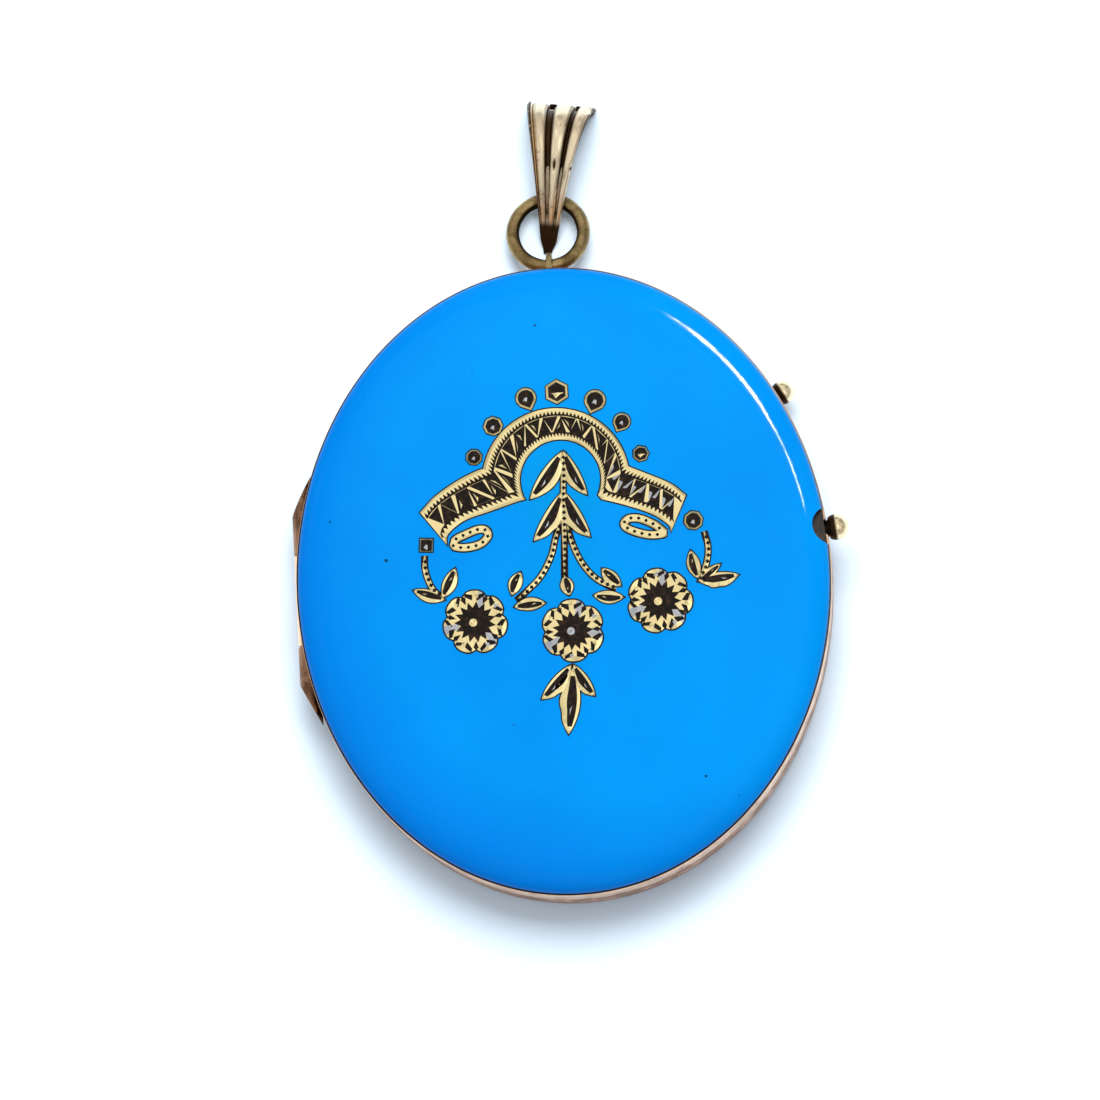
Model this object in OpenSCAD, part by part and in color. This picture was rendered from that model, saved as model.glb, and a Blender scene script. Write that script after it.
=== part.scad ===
// Oval picture locket with an enamelled front, a straight side hinge and a fluted bail.
// It lies on its back: +Z points out of the enamelled face, +Y to the bail and -X to the hinge.
// The origin is the centre of the flat back. All sizes are in millimetres.

/* [Case] */
// Width of the gold case at the parting line
case_width = 27.6; // [23:0.1:34]
// Length of the gold case at the parting line
case_length = 32.8; // [27:0.1:40]
// Height of the back half, from the flat back to the parting line
back_height = 2.7; // [2.5:0.05:3.4]
// Height of the front half's gold wall above the parting line
front_wall_height = 1.75; // [1.7:0.05:2.3]
// Thickness of both gold side walls and of the back
wall = 0.5; // [0.4:0.05:0.6]
// Thickness of the gold plate under the enamel
plate_thickness = 0.35; // [0.25:0.05:0.4]
// Radius of the rounded edge of the back
back_edge_radius = 1.15; // [0.9:0.05:1.3]

/* [Enamel] */
// Height of the enamel face above the gold plate
enamel_height = 1.15; // [0.8:0.05:1.6]
// Width of the enamel's rounded shoulder
shoulder_width = 1; // [0.6:0.05:1.4]
// Height of the upright edge of the enamel below its shoulder
enamel_edge_height = 0.25; // [0.2:0.05:0.4]
// Thickness of the gold line around the enamel
rim_line = 0.13; // [0.1:0.01:0.2]
// Height of the gold line above the plate
rim_line_height = 0.2; // [0.1:0.05:0.3]

/* [Inlay] */
// Size of the whole gold ornament, as a share of its own size
ornament_scale = 1; // [0.8:0.05:1.1]
// Depth of the inlaid gold in the enamel
inlay_depth = 0.3; // [0.2:0.05:0.4]
// How far the inlaid gold stands above the enamel
inlay_proud = 0.02; // [0.01:0.01:0.05]

/* [Inside frames] */
// Thickness of the liner that carries the snap lip
liner_thickness = 0.55; // [0.5:0.05:0.7]
// Thickness of the snap lip
lip_thickness = 0.3; // [0.2:0.05:0.4]
// Height of the snap lip above the parting line
lip_height = 0.5; // [0.4:0.05:0.6]
// Width of the visible picture frame in each half
frame_width = 1.05; // [0.8:0.05:1.6]
// Thickness of the picture frames
frame_thickness = 0.3; // [0.2:0.05:0.35]
// Depth of the front frame's face above the parting line
front_frame_setback = 0.15; // [0.1:0.05:0.25]
// Depth of the back frame's face below the parting line
back_frame_setback = 0.3; // [0.2:0.05:0.4]
// Thickness of the back crystal
back_crystal_thickness = 0.5; // [0.4:0.05:0.6]
// Thickness of the front crystal
front_crystal_thickness = 0.45; // [0.3:0.05:0.5]
// Thickness of the back picture card
card_thickness = 0.3; // [0.2:0.05:0.35]

/* [Hinge] */
// Length of the hinge between the points where its filed ends meet the case
hinge_length = 14.2; // [11:0.1:16]
// Length of the hinge's straight outer edge between its filed ends
hinge_flat = 8.8; // [7:0.1:9.6]
// Angle of the filed ends to the hinge line
hinge_end_angle = 27; // [22:1:35]
// Radius of the hinge knuckles
knuckle_radius = 0.55; // [0.5:0.01:0.6]
// Distance of the hinge line inside the widest point of the case
hinge_inset = 0.35; // [0.3:0.01:0.38]
// Radius of the hinge pin
pin_radius = 0.25; // [0.2:0.01:0.3]

/* [Thumb knobs] */
// Radius of the front half's ball
front_knob_radius = 0.67; // [0.5:0.01:0.75]
// Radius of the back half's ball
back_knob_radius = 0.62; // [0.5:0.01:0.7]
// Place of the front ball round the oval, from the widest point
front_knob_turn = 6.5; // [3:0.5:12]
// Place of the back ball round the oval, from the widest point
back_knob_turn = 34.5; // [25:0.5:45]
// Distance of both ball centres outside the case wall
knob_reach = 0.46; // [0.35:0.01:0.6]
// Radius of the peg that fixes each ball
peg_radius = 0.2; // [0.15:0.01:0.25]

/* [Ring and eye] */
// Radius of the jump ring to the middle of its wire
ring_radius = 1.86; // [1.6:0.01:2.3]
// Radius of the jump ring's wire
ring_wire_radius = 0.34; // [0.25:0.01:0.38]
// Radius of the eye's own wire
eye_wire_radius = 0.16; // [0.12:0.01:0.2]
// Gap between the case wall and the ring's wire
ring_gap = 0.4; // [0.1:0.05:0.5]
// Height of the eye above the flat back
eye_height = 1.4; // [1.2:0.05:1.6]
// Angle at which the ring rests below level
ring_droop = 9; // [7:0.5:10]

/* [Bail] */
// Length of the bail
bail_length = 8; // [7:0.1:9]
// Width of the bail at its open top
bail_top_width = 3.6; // [3:0.1:4.2]
// Width of the bail at its tip
bail_tip_width = 0.7; // [0.5:0.05:0.9]
// Height of the bail across its loop
bail_depth = 3.05; // [2.8:0.05:3.4]
// Thickness of the bail's back leaf
bail_thickness = 0.35; // [0.25:0.05:0.4]
// Depth of the flutes
flute_depth = 0.22; // [0.1:0.02:0.26]
// Angle at which the bail lies over to the right
bail_lean = 8.8; // [0:0.2:15]

/* [Clearances] */
// Gap between the snap lip and the front wall
snap_clearance = 0.06; // [0.04:0.01:0.1]
// Gap between a knuckle and the opposite half
hinge_clearance = 0.08; // [0.05:0.01:0.12]
// Gap between neighbouring knuckles
knuckle_gap = 0.06; // [0.04:0.01:0.1]
// Running clearance of the pin in the cover's knuckle
pin_clearance = 0.03; // [0.01:0.01:0.05]
// Gap between a crystal or card and its frame
card_clearance = 0.05; // [0.03:0.01:0.1]
// Gap between the ring's wire and the eye
eye_clearance = 0.06; // [0.03:0.01:0.1]
// Gap between the eye and the tip of the bail
tip_clearance = 0.2; // [0.1:0.05:0.3]
// Gap between the thumb ball and the enamel around it
ball_clearance = 0.2; // [0.1:0.05:0.3]

/* [Hidden] */

gold = "#d8ad62";
pale_gold = "#ecca88";
bronze = "#8d6c36";
azure = "#0c96f2";
clear_glass = [0.85, 0.92, 0.95, 0.5];
card_white = "#e9e2d2";

oval_steps = 96;
round_steps = 48;
half_width = case_width / 2;
half_length = case_length / 2;
parting_z = back_height;
plate_z = parting_z + front_wall_height - rim_line_height;
plate_under_z = plate_z - plate_thickness;
face_z = plate_z + enamel_height;
over = 0.2;

hinge_x = -half_width + hinge_inset;
channel_radius = knuckle_radius + hinge_clearance;
middle_half = hinge_length / 6;
pin_half = hinge_flat / 2 + (knuckle_radius - pin_radius) / tan(hinge_end_angle) - 0.05;

liner_inner = -wall - liner_thickness;
skirt_inner = liner_inner - frame_thickness;
window_edge = liner_inner - frame_width;
card_edge = skirt_inner - card_clearance;

eye_radius = ring_wire_radius + eye_clearance + eye_wire_radius;
eye_y = half_length + ring_gap + ring_wire_radius;
ring_centre = [0, eye_y + ring_radius * cos(ring_droop), eye_height - ring_radius * sin(ring_droop)];
bail_tip_y = eye_y + eye_radius + eye_wire_radius + tip_clearance;
bail_lift = 0.05;

// ---- Oval shapes ----

// A point of the case outline moved outward by o; a negative o moves it inward.
function oval_point(o, turn) =
  let (n = [half_length * cos(turn), half_width * sin(turn)])
  [half_width * cos(turn), half_length * sin(turn)] + o * n / norm(n);

function oval_outline(o) = [for (i = [0:oval_steps - 1]) oval_point(o, 360 * i / oval_steps)];

function ring_points(profile) = [for (p = profile, q = oval_outline(p[0])) [q.x, q.y, p[1]]];

// Two triangles between ring k and ring m at step i, facing outward.
function band(k, m, i) =
  let (j = (i + 1) % oval_steps, a = k * oval_steps, b = m * oval_steps)
  [[a + i, b + i, b + j], [a + i, b + j, a + j]];

// A solid with the oval outline at every height; each profile entry is [offset, height].
module oval_solid(profile) {
  last = len(profile) - 1;
  polyhedron(
    points = ring_points(profile),
    faces = concat(
      [[for (i = [0:oval_steps - 1]) i]],
      [for (k = [0:last - 1], i = [0:oval_steps - 1]) each band(k, k + 1, i)],
      [[for (i = [oval_steps - 1:-1:0]) last * oval_steps + i]]
    )
  );
}

// A closed oval frame; the section runs outward along its underside and back along its top.
module oval_frame(section) {
  count = len(section);
  polyhedron(
    points = ring_points(section),
    faces = [for (k = [0:count - 1], i = [0:oval_steps - 1]) each band(k, (k + 1) % count, i)]
  );
}

module oval_sheet(o, z, thickness) {
  translate([0, 0, z]) linear_extrude(thickness) polygon(oval_outline(o));
}

// ---- Hinge ----

module along_hinge(radius, y0, y1) {
  translate([hinge_x, y0, parting_z]) rotate([-90, 0, 0])
    cylinder(r = radius, h = y1 - y0, $fn = round_steps);
}

module middle_channel(radius) {
  along_hinge(radius, -middle_half, middle_half);
}

module outer_channels(radius) {
  for (side = [0, 1]) mirror([0, side, 0])
    along_hinge(radius, middle_half, hinge_length / 2 + over);
}

// The two filed ends, as the space outside them.
module filed_ends() {
  for (side = [0, 1]) mirror([0, side, 0])
    translate([hinge_x - knuckle_radius, hinge_flat / 2, parting_z])
      rotate([0, 0, -hinge_end_angle])
        translate([-4, 0, -2]) cube([4, 12, 4]);
}

module back_hinge_knuckles() {
  color(gold) difference() {
    for (side = [0, 1]) mirror([0, side, 0])
      along_hinge(knuckle_radius, middle_half + knuckle_gap, hinge_length / 2);
    along_hinge(pin_radius, -pin_half, pin_half);
    filed_ends();
  }
}

module front_hinge_knuckle() {
  color(gold) difference() {
    middle_channel(knuckle_radius);
    along_hinge(pin_radius + pin_clearance, -middle_half - over, middle_half + over);
  }
}

module hinge_pin() {
  color(bronze) along_hinge(pin_radius, -pin_half, pin_half);
}

// ---- Thumb knobs ----

// Puts its children on the case wall: local +X points outward, at the given turn and height.
module on_wall(turn, z) {
  n = [half_length * cos(turn), half_width * sin(turn)];
  p = oval_point(0, turn);
  translate([p.x, p.y, z]) rotate([0, 0, atan2(n.y, n.x)]) children();
}

module knob_shape(radius) {
  translate([knob_reach, 0, 0]) sphere(r = radius, $fn = round_steps);
  translate([-0.8 * wall, 0, 0]) rotate([0, 90, 0])
    cylinder(r = peg_radius, h = 0.8 * wall + knob_reach, $fn = 24);
}

front_knob_z = parting_z + front_knob_radius + 0.48;
back_knob_z = parting_z - back_knob_radius - 0.33;

module front_knob_place() {
  on_wall(front_knob_turn, front_knob_z) children();
}

module back_knob_place() {
  on_wall(back_knob_turn, back_knob_z) children();
}

module front_thumb_knob() {
  color(pale_gold) front_knob_place() knob_shape(front_knob_radius);
}

module back_thumb_knob() {
  color(pale_gold) back_knob_place() knob_shape(back_knob_radius);
}

// The dished relief around the front ball, cut in the enamel and its gold line.
module ball_relief() {
  front_knob_place() translate([knob_reach, 0, 0])
    sphere(r = front_knob_radius + ball_clearance, $fn = round_steps);
}

// ---- Back half ----

eye_foot_radius = 0.45;
eye_foot_depth = 0.25;

module eye_foot() {
  translate([0, half_length - eye_foot_depth, eye_height]) rotate([-90, 0, 0])
    cylinder(r = eye_foot_radius, h = eye_foot_depth + ring_gap - eye_clearance, $fn = 32);
}

corner_steps = 6;
back_profile = concat(
  [for (i = [0:corner_steps]) let (a = 90 * i / corner_steps)
    [back_edge_radius * (sin(a) - 1), back_edge_radius * (1 - cos(a))]],
  [[0, parting_z], [-wall, parting_z]],
  [for (i = [corner_steps:-2:0]) let (a = 90 * i / corner_steps, r = back_edge_radius - wall)
    [-back_edge_radius + r * sin(a), back_edge_radius - r * cos(a)]]
);

module back_shell() {
  color(gold) difference() {
    oval_solid(back_profile);
    outer_channels(knuckle_radius);
    middle_channel(channel_radius);
    back_knob_place() knob_shape(back_knob_radius);
    translate([0, half_length - eye_foot_depth, eye_height]) rotate([-90, 0, 0])
      cylinder(r = eye_foot_radius, h = 1, $fn = 32);
  }
}

module back_snap_rim() {
  lip = -wall - snap_clearance;
  top = parting_z + lip_height;
  low = parting_z - 1.35;
  color(gold) difference() {
    oval_frame([
      [liner_inner, low], [-wall, low], [-wall, parting_z], [lip, parting_z],
      [lip, top - 0.1], [lip - 0.06, top], [lip - lip_thickness, top],
      [lip - lip_thickness, parting_z], [liner_inner, parting_z]
    ]);
    outer_channels(knuckle_radius);
    middle_channel(channel_radius);
    translate([-half_width, -hinge_length / 2 - over, parting_z])
      cube([3, hinge_length + 2 * over, 2 * lip_height]);
  }
}

back_frame_top = parting_z - back_frame_setback;
back_crystal_z = back_frame_top - frame_thickness - back_crystal_thickness;
back_card_z = back_crystal_z - card_thickness;

module back_frame() {
  color(pale_gold) oval_frame([
    [skirt_inner, back_card_z], [liner_inner, back_card_z],
    [liner_inner, back_frame_top - 0.08], [liner_inner - 0.08, back_frame_top],
    [window_edge + 0.2, back_frame_top], [window_edge, back_frame_top - frame_thickness / 2],
    [window_edge, back_frame_top - frame_thickness],
    [skirt_inner, back_frame_top - frame_thickness]
  ]);
}

module back_crystal() {
  color(clear_glass) oval_sheet(card_edge, back_crystal_z, back_crystal_thickness);
}

module back_picture_card() {
  color(card_white) oval_sheet(card_edge, back_card_z, card_thickness);
}

module back_packing_card() {
  color(card_white)
    oval_sheet(liner_inner - 3 * card_clearance, wall, back_card_z - wall);
}

module bail_eye() {
  color(gold) union() {
    difference() {
      translate([0, eye_y, eye_height]) rotate([0, 90, 0])
        rotate_extrude($fn = round_steps) translate([eye_radius, 0])
          circle(r = eye_wire_radius, $fn = 24);
      translate([-1, half_length - 1, eye_height - 2]) cube([2, 1, 4]);
    }
    eye_foot();
  }
}

// ---- Front half ----

module front_shell() {
  color(gold) difference() {
    oval_solid([
      [-wall, plate_under_z], [-wall, parting_z], [0, parting_z],
      [0, plate_z + rim_line_height], [-rim_line, plate_z + rim_line_height],
      [-rim_line, plate_z]
    ]);
    middle_channel(knuckle_radius);
    outer_channels(channel_radius);
    front_knob_place() knob_shape(front_knob_radius);
    intersection() {
      ball_relief();
      translate([0, -half_length, plate_z]) cube([2 * half_width, 2 * half_length, 2]);
    }
  }
}

shoulder_steps = 8;
enamel_profile = concat(
  [[-rim_line, plate_z]],
  [for (i = [0:shoulder_steps]) let (a = 90 * i / shoulder_steps)
    [-rim_line - shoulder_width * (1 - cos(a)),
     plate_z + enamel_edge_height + (enamel_height - enamel_edge_height) * sin(a)]]
);

module front_enamel() {
  color(azure) difference() {
    oval_solid(enamel_profile);
    ball_relief();
    cut_inlay(over) {
      ribbon_arch_shape();
      ribbon_curl_left_shape();
      ribbon_curl_right_shape();
      crown_beads_shape();
      end_beads_shape();
      top_spray_shape();
      left_festoon_shape();
      right_festoon_shape();
      left_leaves_shape();
      right_leaves_shape();
      flower_left_shape();
      flower_centre_shape();
      flower_right_shape();
      drop_spray_shape();
    }
  }
}

front_frame_z = parting_z + front_frame_setback;
front_step_z = parting_z + channel_radius + 0.07;
front_crystal_z = front_frame_z + frame_thickness;

module front_frame() {
  color(pale_gold) oval_frame([
    [window_edge, front_frame_z + frame_thickness / 2], [window_edge + 0.2, front_frame_z],
    [liner_inner - 0.08, front_frame_z], [liner_inner, front_frame_z + 0.08],
    [liner_inner, front_step_z], [-wall, front_step_z], [-wall, plate_under_z],
    [skirt_inner, plate_under_z], [skirt_inner, front_crystal_z],
    [window_edge, front_crystal_z]
  ]);
}

module front_crystal() {
  color(clear_glass) oval_sheet(card_edge, front_crystal_z, front_crystal_thickness);
}

module front_picture_card() {
  z = front_crystal_z + front_crystal_thickness;
  color(card_white) oval_sheet(card_edge, z, plate_under_z - z);
}

// ---- Inlaid ornament ----
// Its plans lie in the enamel face, with their origin at the middle of the oval.

// Raises each plan to an inlaid plate; extra lifts the top to cut the pocket cleanly.
module cut_inlay(extra) {
  for (i = [0:$children - 1])
    translate([0, 0, face_z - inlay_depth])
      linear_extrude(inlay_depth + extra) scale(ornament_scale) children(i);
}

module inlay() {
  color(pale_gold) cut_inlay(inlay_proud) children();
}

function arc(c, r, a0, a1, n) = [for (i = [0:n]) let (a = a0 + (a1 - a0) * i / n) c + r * [cos(a), sin(a)]];

function between(a, b, c, d, t) =
  0.5 * (2 * b + (c - a) * t + (2 * a - 5 * b + 4 * c - d) * t * t
         + (3 * b - a - 3 * c + d) * t * t * t);

// A smooth line through the given points, with n steps between neighbours.
function smooth(p, n = 4) =
  let (q = concat([2 * p[0] - p[1]], p, [2 * p[len(p) - 1] - p[len(p) - 2]]))
  concat([for (k = [1:len(p) - 1], i = [0:n - 1]) between(q[k - 1], q[k], q[k + 1], q[k + 2], i / n)],
         [p[len(p) - 1]]);

function reversed(p) = [for (i = [len(p) - 1:-1:0]) p[i]];

function sideways(p, i) =
  let (d = p[min(i + 1, len(p) - 1)] - p[max(i - 1, 0)]) [-d.y, d.x] / norm(d);

// A strip of even width along a line.
module strip(p, width) {
  polygon(concat(
    [for (i = [0:len(p) - 1]) p[i] + sideways(p, i) * width / 2],
    [for (i = [len(p) - 1:-1:0]) p[i] - sideways(p, i) * width / 2]
  ));
}

// A pointed leaf from base to tip; bow bends its middle line to the left.
module leaf(base, tip, width, bow = 0) {
  along = tip - base;
  side = [-along.y, along.x] / norm(along);
  steps = 8;
  function edge(t, s) =
    base + along * t + side * (bow * sin(180 * t) + s * width / 2 * pow(sin(180 * t), 0.85));
  polygon(concat(
    [for (i = [0:steps]) edge(i / steps, -1)],
    [for (i = [steps - 1:-1:1]) edge(i / steps, 1)]
  ));
}

module facet_bead(c, r, sides, turn = 0) {
  translate(c) rotate(turn) polygon([for (i = [0:sides - 1]) r * [cos(360 * i / sides), sin(360 * i / sides)]]);
}

// A round bead drawn out to a point; turn gives the direction of the point.
module drop_bead(c, r, turn) {
  translate(c) rotate(turn) polygon(concat([[1.35 * r, 0]], arc([0, 0], r, 50, 310, 10)));
}

// The ribbon: a round arch with a wing on each side, which runs out to a turned end.
arch_outer = [-0.05, 4.98];
arch_outer_radius = 3.8;
arch_inner = [0.2, 5.03];
arch_inner_radius = 2.1;

module ribbon_arch_shape() {
  polygon(concat(
    arc(arch_outer, arch_outer_radius, 168, 10, 20),
    smooth([[4, 5.35], [4.71, 5.02], [5.87, 4.43], [6.62, 3.79]]),
    smooth([[6.39, 3.07], [6.02, 2.42], [5.73, 1.9]], 2),
    smooth([[5.6, 2.34], [4.73, 2.96], [3.44, 3.49], [2.05, 3.88]]),
    arc(arch_inner, arch_inner_radius, -10, 196, 22),
    smooth([[-1.82, 4.02], [-3.53, 3.61], [-4.87, 3.21], [-5.75, 2.55]]),
    smooth([[-5.87, 1.98], [-6.11, 2.35], [-6.78, 3.25], [-7.15, 3.8]], 2),
    smooth([[-6.32, 4.56], [-5.16, 5.29], [-4.08, 5.77]])
  ));
}

module ribbon_arch() {
  inlay() ribbon_arch_shape();
}

curl_width = 0.3;

module ribbon_curl_left_shape() {
  strip(smooth([[-5.68, 1.84], [-4.96, 1.74], [-4.1, 1.96], [-3.66, 2.3], [-3.72, 2.66],
                [-4.15, 2.76], [-4.75, 2.52]]), curl_width);
}

module ribbon_curl_left() {
  inlay() ribbon_curl_left_shape();
}

module ribbon_curl_right_shape() {
  strip(smooth([[5.55, 1.78], [5.06, 1.72], [4.35, 1.8], [3.55, 2.16], [3.28, 2.55],
                [3.55, 2.83], [4.07, 2.8], [4.75, 2.42]]), curl_width);
}

module ribbon_curl_right() {
  inlay() ribbon_curl_right_shape();
}

module crown_beads_shape() {
  facet_bead([-4.2, 6.5], 0.42, 6, 15);
  facet_bead([-3.13, 8.06], 0.5, 6, 0);
  drop_bead([-1.36, 9.42], 0.52, -70);
  facet_bead([0.25, 9.63], 0.66, 6, 30);
  drop_bead([2.2, 9.06], 0.54, -112);
  drop_bead([3.52, 7.86], 0.44, -120);
  facet_bead([4.4, 6.12], 0.42, 7, 0);
}

module crown_beads() {
  inlay() crown_beads_shape();
}

module end_beads_shape() {
  facet_bead([-6.89, 2.06], 0.46, 4, 40);
  facet_bead([6.9, 2.46], 0.5, 8, 10);
}

module end_beads() {
  inlay() end_beads_shape();
}

stem_width = 0.2;
stem_centre = [[0.42, 6.6], [0.36, 5.39], [0.27, 3.8], [0.24, 2.2], [0.13, -0.25]];
stem_left = [[0.1, 2.9], [-0.21, 2.05], [-0.51, 1.05], [-1.09, 0.05], [-1.79, -0.62], [-2.4, -1.12]];
stem_right = [[0.43, 2.6], [0.59, 1.79], [0.99, 0.76], [1.54, -0.04], [2.17, -0.54], [2.76, -0.83]];

module top_spray_shape() {
  strip(smooth(stem_centre), stem_width);
  strip(smooth(stem_left), stem_width);
  strip(smooth(stem_right), stem_width);
  leaf([0.38, 6.6], [-1.43, 4.09], 0.85, 0.2);
  leaf([0.42, 6.6], [1.53, 4.13], 0.7, -0.2);
  leaf([0.3, 4.5], [-1.36, 1.9], 0.75, 0.25);
  leaf([0.2, 3.9], [-1.1, 2.9], 0.5, 0.1);
  leaf([0.3, 4.5], [1.58, 1.93], 0.75, -0.25);
  leaf([0.35, 3.9], [1.25, 2.9], 0.5, -0.1);
  leaf([0.13, 0], [0.33, -1.04], 0.6);
}

module top_spray() {
  inlay() top_spray_shape();
}

module left_leaves_shape() {
  leaf([-2.63, -0.84], [-2.1, 0.36], 0.62, 0.05);
  leaf([-2.55, -1.44], [-0.9, -1.34], 0.62, 0.05);
}

module left_leaves() {
  inlay() left_leaves_shape();
}

module right_leaves_shape() {
  leaf([3.02, -0.72], [2.06, 0.27], 0.62, 0.05);
  leaf([3.14, -1.3], [1.55, -1.1], 0.62, 0.05);
}

module right_leaves() {
  inlay() right_leaves_shape();
}

module left_festoon_shape() {
  strip(smooth([[-7, 1.52], [-7.01, 0.73], [-6.7, -0.2], [-6.15, -0.78]]), stem_width);
  leaf([-6.2, -0.75], [-5.45, 0.78], 0.65, -0.05);
  leaf([-6.05, -0.85], [-7.69, -0.24], 0.6, 0.05);
}

module left_festoon() {
  inlay() left_festoon_shape();
}

module right_festoon_shape() {
  strip(smooth([[7.42, 1.85], [7.58, 1.01], [7.42, 0.1], [7.02, -0.62]]), stem_width);
  leaf([7, -0.6], [6.67, 0.92], 0.6, 0.05);
  leaf([6.95, -0.75], [8.19, 0.12], 0.45, 0);
  leaf([6.95, -0.7], [9.08, -0.52], 0.7, -0.1);
}

module right_festoon() {
  inlay() right_festoon_shape();
}

petal_depth = 0.14;

module flower_outline(c, r, petals, turn) {
  points = 6 * petals;
  translate(c) rotate(turn) polygon([
    for (i = [0:points - 1]) let (a = 360 * i / points)
      r * (1 - petal_depth * pow(1 - abs(sin(petals * a / 2)), 1.5)) * [cos(a), sin(a)]
  ]);
}

module flower_left_shape() {
  flower_outline([-4.58, -2.1], 1.66, 7, 12);
}

module flower_left() {
  inlay() flower_left_shape();
}

module flower_centre_shape() {
  flower_outline([0.41, -2.86], 1.62, 6, 0);
}

module flower_centre() {
  inlay() flower_centre_shape();
}

module flower_right_shape() {
  flower_outline([4.96, -1.6], 1.68, 7, 20);
}

module flower_right() {
  inlay() flower_right_shape();
}

module drop_spray_shape() {
  leaf([0.24, -4.62], [-1.39, -6.33], 0.75, 0.15);
  leaf([0.1, -5], [-0.8, -5.9], 0.4, 0.05);
  leaf([0.34, -4.62], [1.37, -6.32], 0.7, -0.15);
  leaf([0.29, -4.8], [-0.1, -8.23], 1, 0);
}

module drop_spray() {
  inlay() drop_spray_shape();
}

// ---- Jump ring and bail ----

module jump_ring() {
  color(bronze) translate(ring_centre) rotate([-ring_droop, 0, 0])
    rotate_extrude($fn = round_steps) translate([ring_radius, 0])
      circle(r = ring_wire_radius, $fn = 24);
}

// The bail is a closed band: a teardrop loop seen from the side, wide at its open top.
// The angle t runs round the loop from 0 at the tip, along the front leaf, to 180 at the top.
bail_steps = 44;
flutes = 3;
flute_points = 18;
// The flutes grow shallower where the leaf comes down to the tip.
flute_share = 0.35;
inner_start = 1.65;
inner_height = 2.4;

function outer_y(t) = bail_tip_y + bail_length * (1 - cos(t)) / 2;

function outer_rise(t) = bail_depth / 0.7 * abs(sin(t)) * pow(sin(t / 2), 1.5);

function inner_y(t) =
  bail_tip_y + inner_start + (bail_length - inner_start - bail_thickness) * (1 - cos(t)) / 2;

function inner_rise(t) = inner_height * abs(sin(t)) * sqrt(abs(sin(t / 2)));

function leaf_z(rise, t) = bail_lift + (t < 180 ? rise : 0);

function bail_width(y) =
  let (s = (y - bail_tip_y) / bail_length)
  bail_tip_width + (bail_top_width - bail_tip_width) * pow(min(1, max(0, s)), 1.15);

// Depth of the fluting across the width, from 0 on a ridge to 1 in a groove.
function flute(u) = pow(abs(sin(180 * flutes * u)), 1.5);

function outward(t) =
  let (d = 2, a = [outer_y(t - d), leaf_z(outer_rise(t - d), t)], b = [outer_y(t + d), leaf_z(outer_rise(t + d), t)])
  norm(b - a) < 0.001 ? [1, 0] : [-(b - a).y, (b - a).x] / norm(b - a);

function bail_section(t) =
  let (yo = outer_y(t), zo = leaf_z(outer_rise(t), t), w = bail_width(yo),
       zi = leaf_z(inner_rise(t), t) + bail_thickness, yi = inner_y(t), wi = min(w, bail_width(yi)),
       out = outward(t), keep = t < 180 ? 1 : 0)
  let (deepest = keep * min(flute_depth, flute_share * outer_rise(t)))
  concat(
    [for (k = [0:flute_points]) let (u = k / flute_points - 0.5, cut = deepest * flute(u))
      [w * u, yo - cut * out.x, zo - cut * out.y]],
    [for (u = [0.5, 0, -0.5]) [wi * u, yi, zi]]
  );

module bail_band() {
  count = flute_points + 4;
  function at(k, i) = (k % bail_steps) * count + i % count;
  polyhedron(
    points = [for (k = [0:bail_steps - 1]) each bail_section(360 * (k + 0.5) / bail_steps)],
    faces = [for (k = [0:bail_steps - 1], i = [0:count - 1])
      each [[at(k, i), at(k + 1, i), at(k + 1, i + 1)], [at(k, i), at(k + 1, i + 1), at(k, i + 1)]]]
  );
}

module bail() {
  color(pale_gold) translate(ring_centre) rotate([0, 0, -bail_lean]) translate(-ring_centre)
    bail_band();
}

back_shell();
back_snap_rim();
back_frame();
back_crystal();
back_picture_card();
back_packing_card();
back_hinge_knuckles();
hinge_pin();
back_thumb_knob();
bail_eye();
front_shell();
front_enamel();
front_frame();
front_crystal();
front_picture_card();
front_hinge_knuckle();
front_thumb_knob();
ribbon_arch();
ribbon_curl_left();
ribbon_curl_right();
crown_beads();
end_beads();
top_spray();
left_festoon();
right_festoon();
left_leaves();
right_leaves();
flower_left();
flower_centre();
flower_right();
drop_spray();
jump_ring();
bail();
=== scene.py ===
# %% [markdown]
# # An enamelled picture locket
# This lesson dresses a small oval locket that is already designed and jointed in CAD.
# The CAD model is the frame: it says where every piece is and how it moves.
# Blender adds what the eye wants: smooth gold, glassy enamel and an engraved ornament.

# %% Load the frame
import math
import random

import bmesh
import bpy
from mathutils import Matrix, Vector


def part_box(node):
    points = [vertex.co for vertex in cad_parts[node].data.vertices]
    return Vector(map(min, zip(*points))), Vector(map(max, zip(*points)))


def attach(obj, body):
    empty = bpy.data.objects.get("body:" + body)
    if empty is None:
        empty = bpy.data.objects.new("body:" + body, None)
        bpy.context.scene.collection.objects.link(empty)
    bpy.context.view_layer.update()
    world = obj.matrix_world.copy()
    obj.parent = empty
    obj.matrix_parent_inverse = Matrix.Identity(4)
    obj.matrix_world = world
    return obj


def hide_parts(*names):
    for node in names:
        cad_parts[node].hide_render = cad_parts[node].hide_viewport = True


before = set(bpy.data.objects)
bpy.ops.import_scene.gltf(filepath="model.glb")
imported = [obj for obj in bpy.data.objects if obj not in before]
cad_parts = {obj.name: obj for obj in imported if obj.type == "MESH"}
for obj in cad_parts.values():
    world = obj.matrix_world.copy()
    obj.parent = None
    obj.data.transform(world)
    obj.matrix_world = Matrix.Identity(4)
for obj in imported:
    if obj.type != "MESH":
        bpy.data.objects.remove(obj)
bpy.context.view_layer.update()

MM = 0.001
print("nodes in the frame:", len(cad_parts))

# %% [markdown]
# ## Driving sizes
# A goldsmith starts from the oval of the case, so this script does too.
# The oval's two half axes and the heights of its layers are read from the frame's boxes.
# Every later outline is an offset of this one oval, which keeps walls evenly thick.

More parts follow.
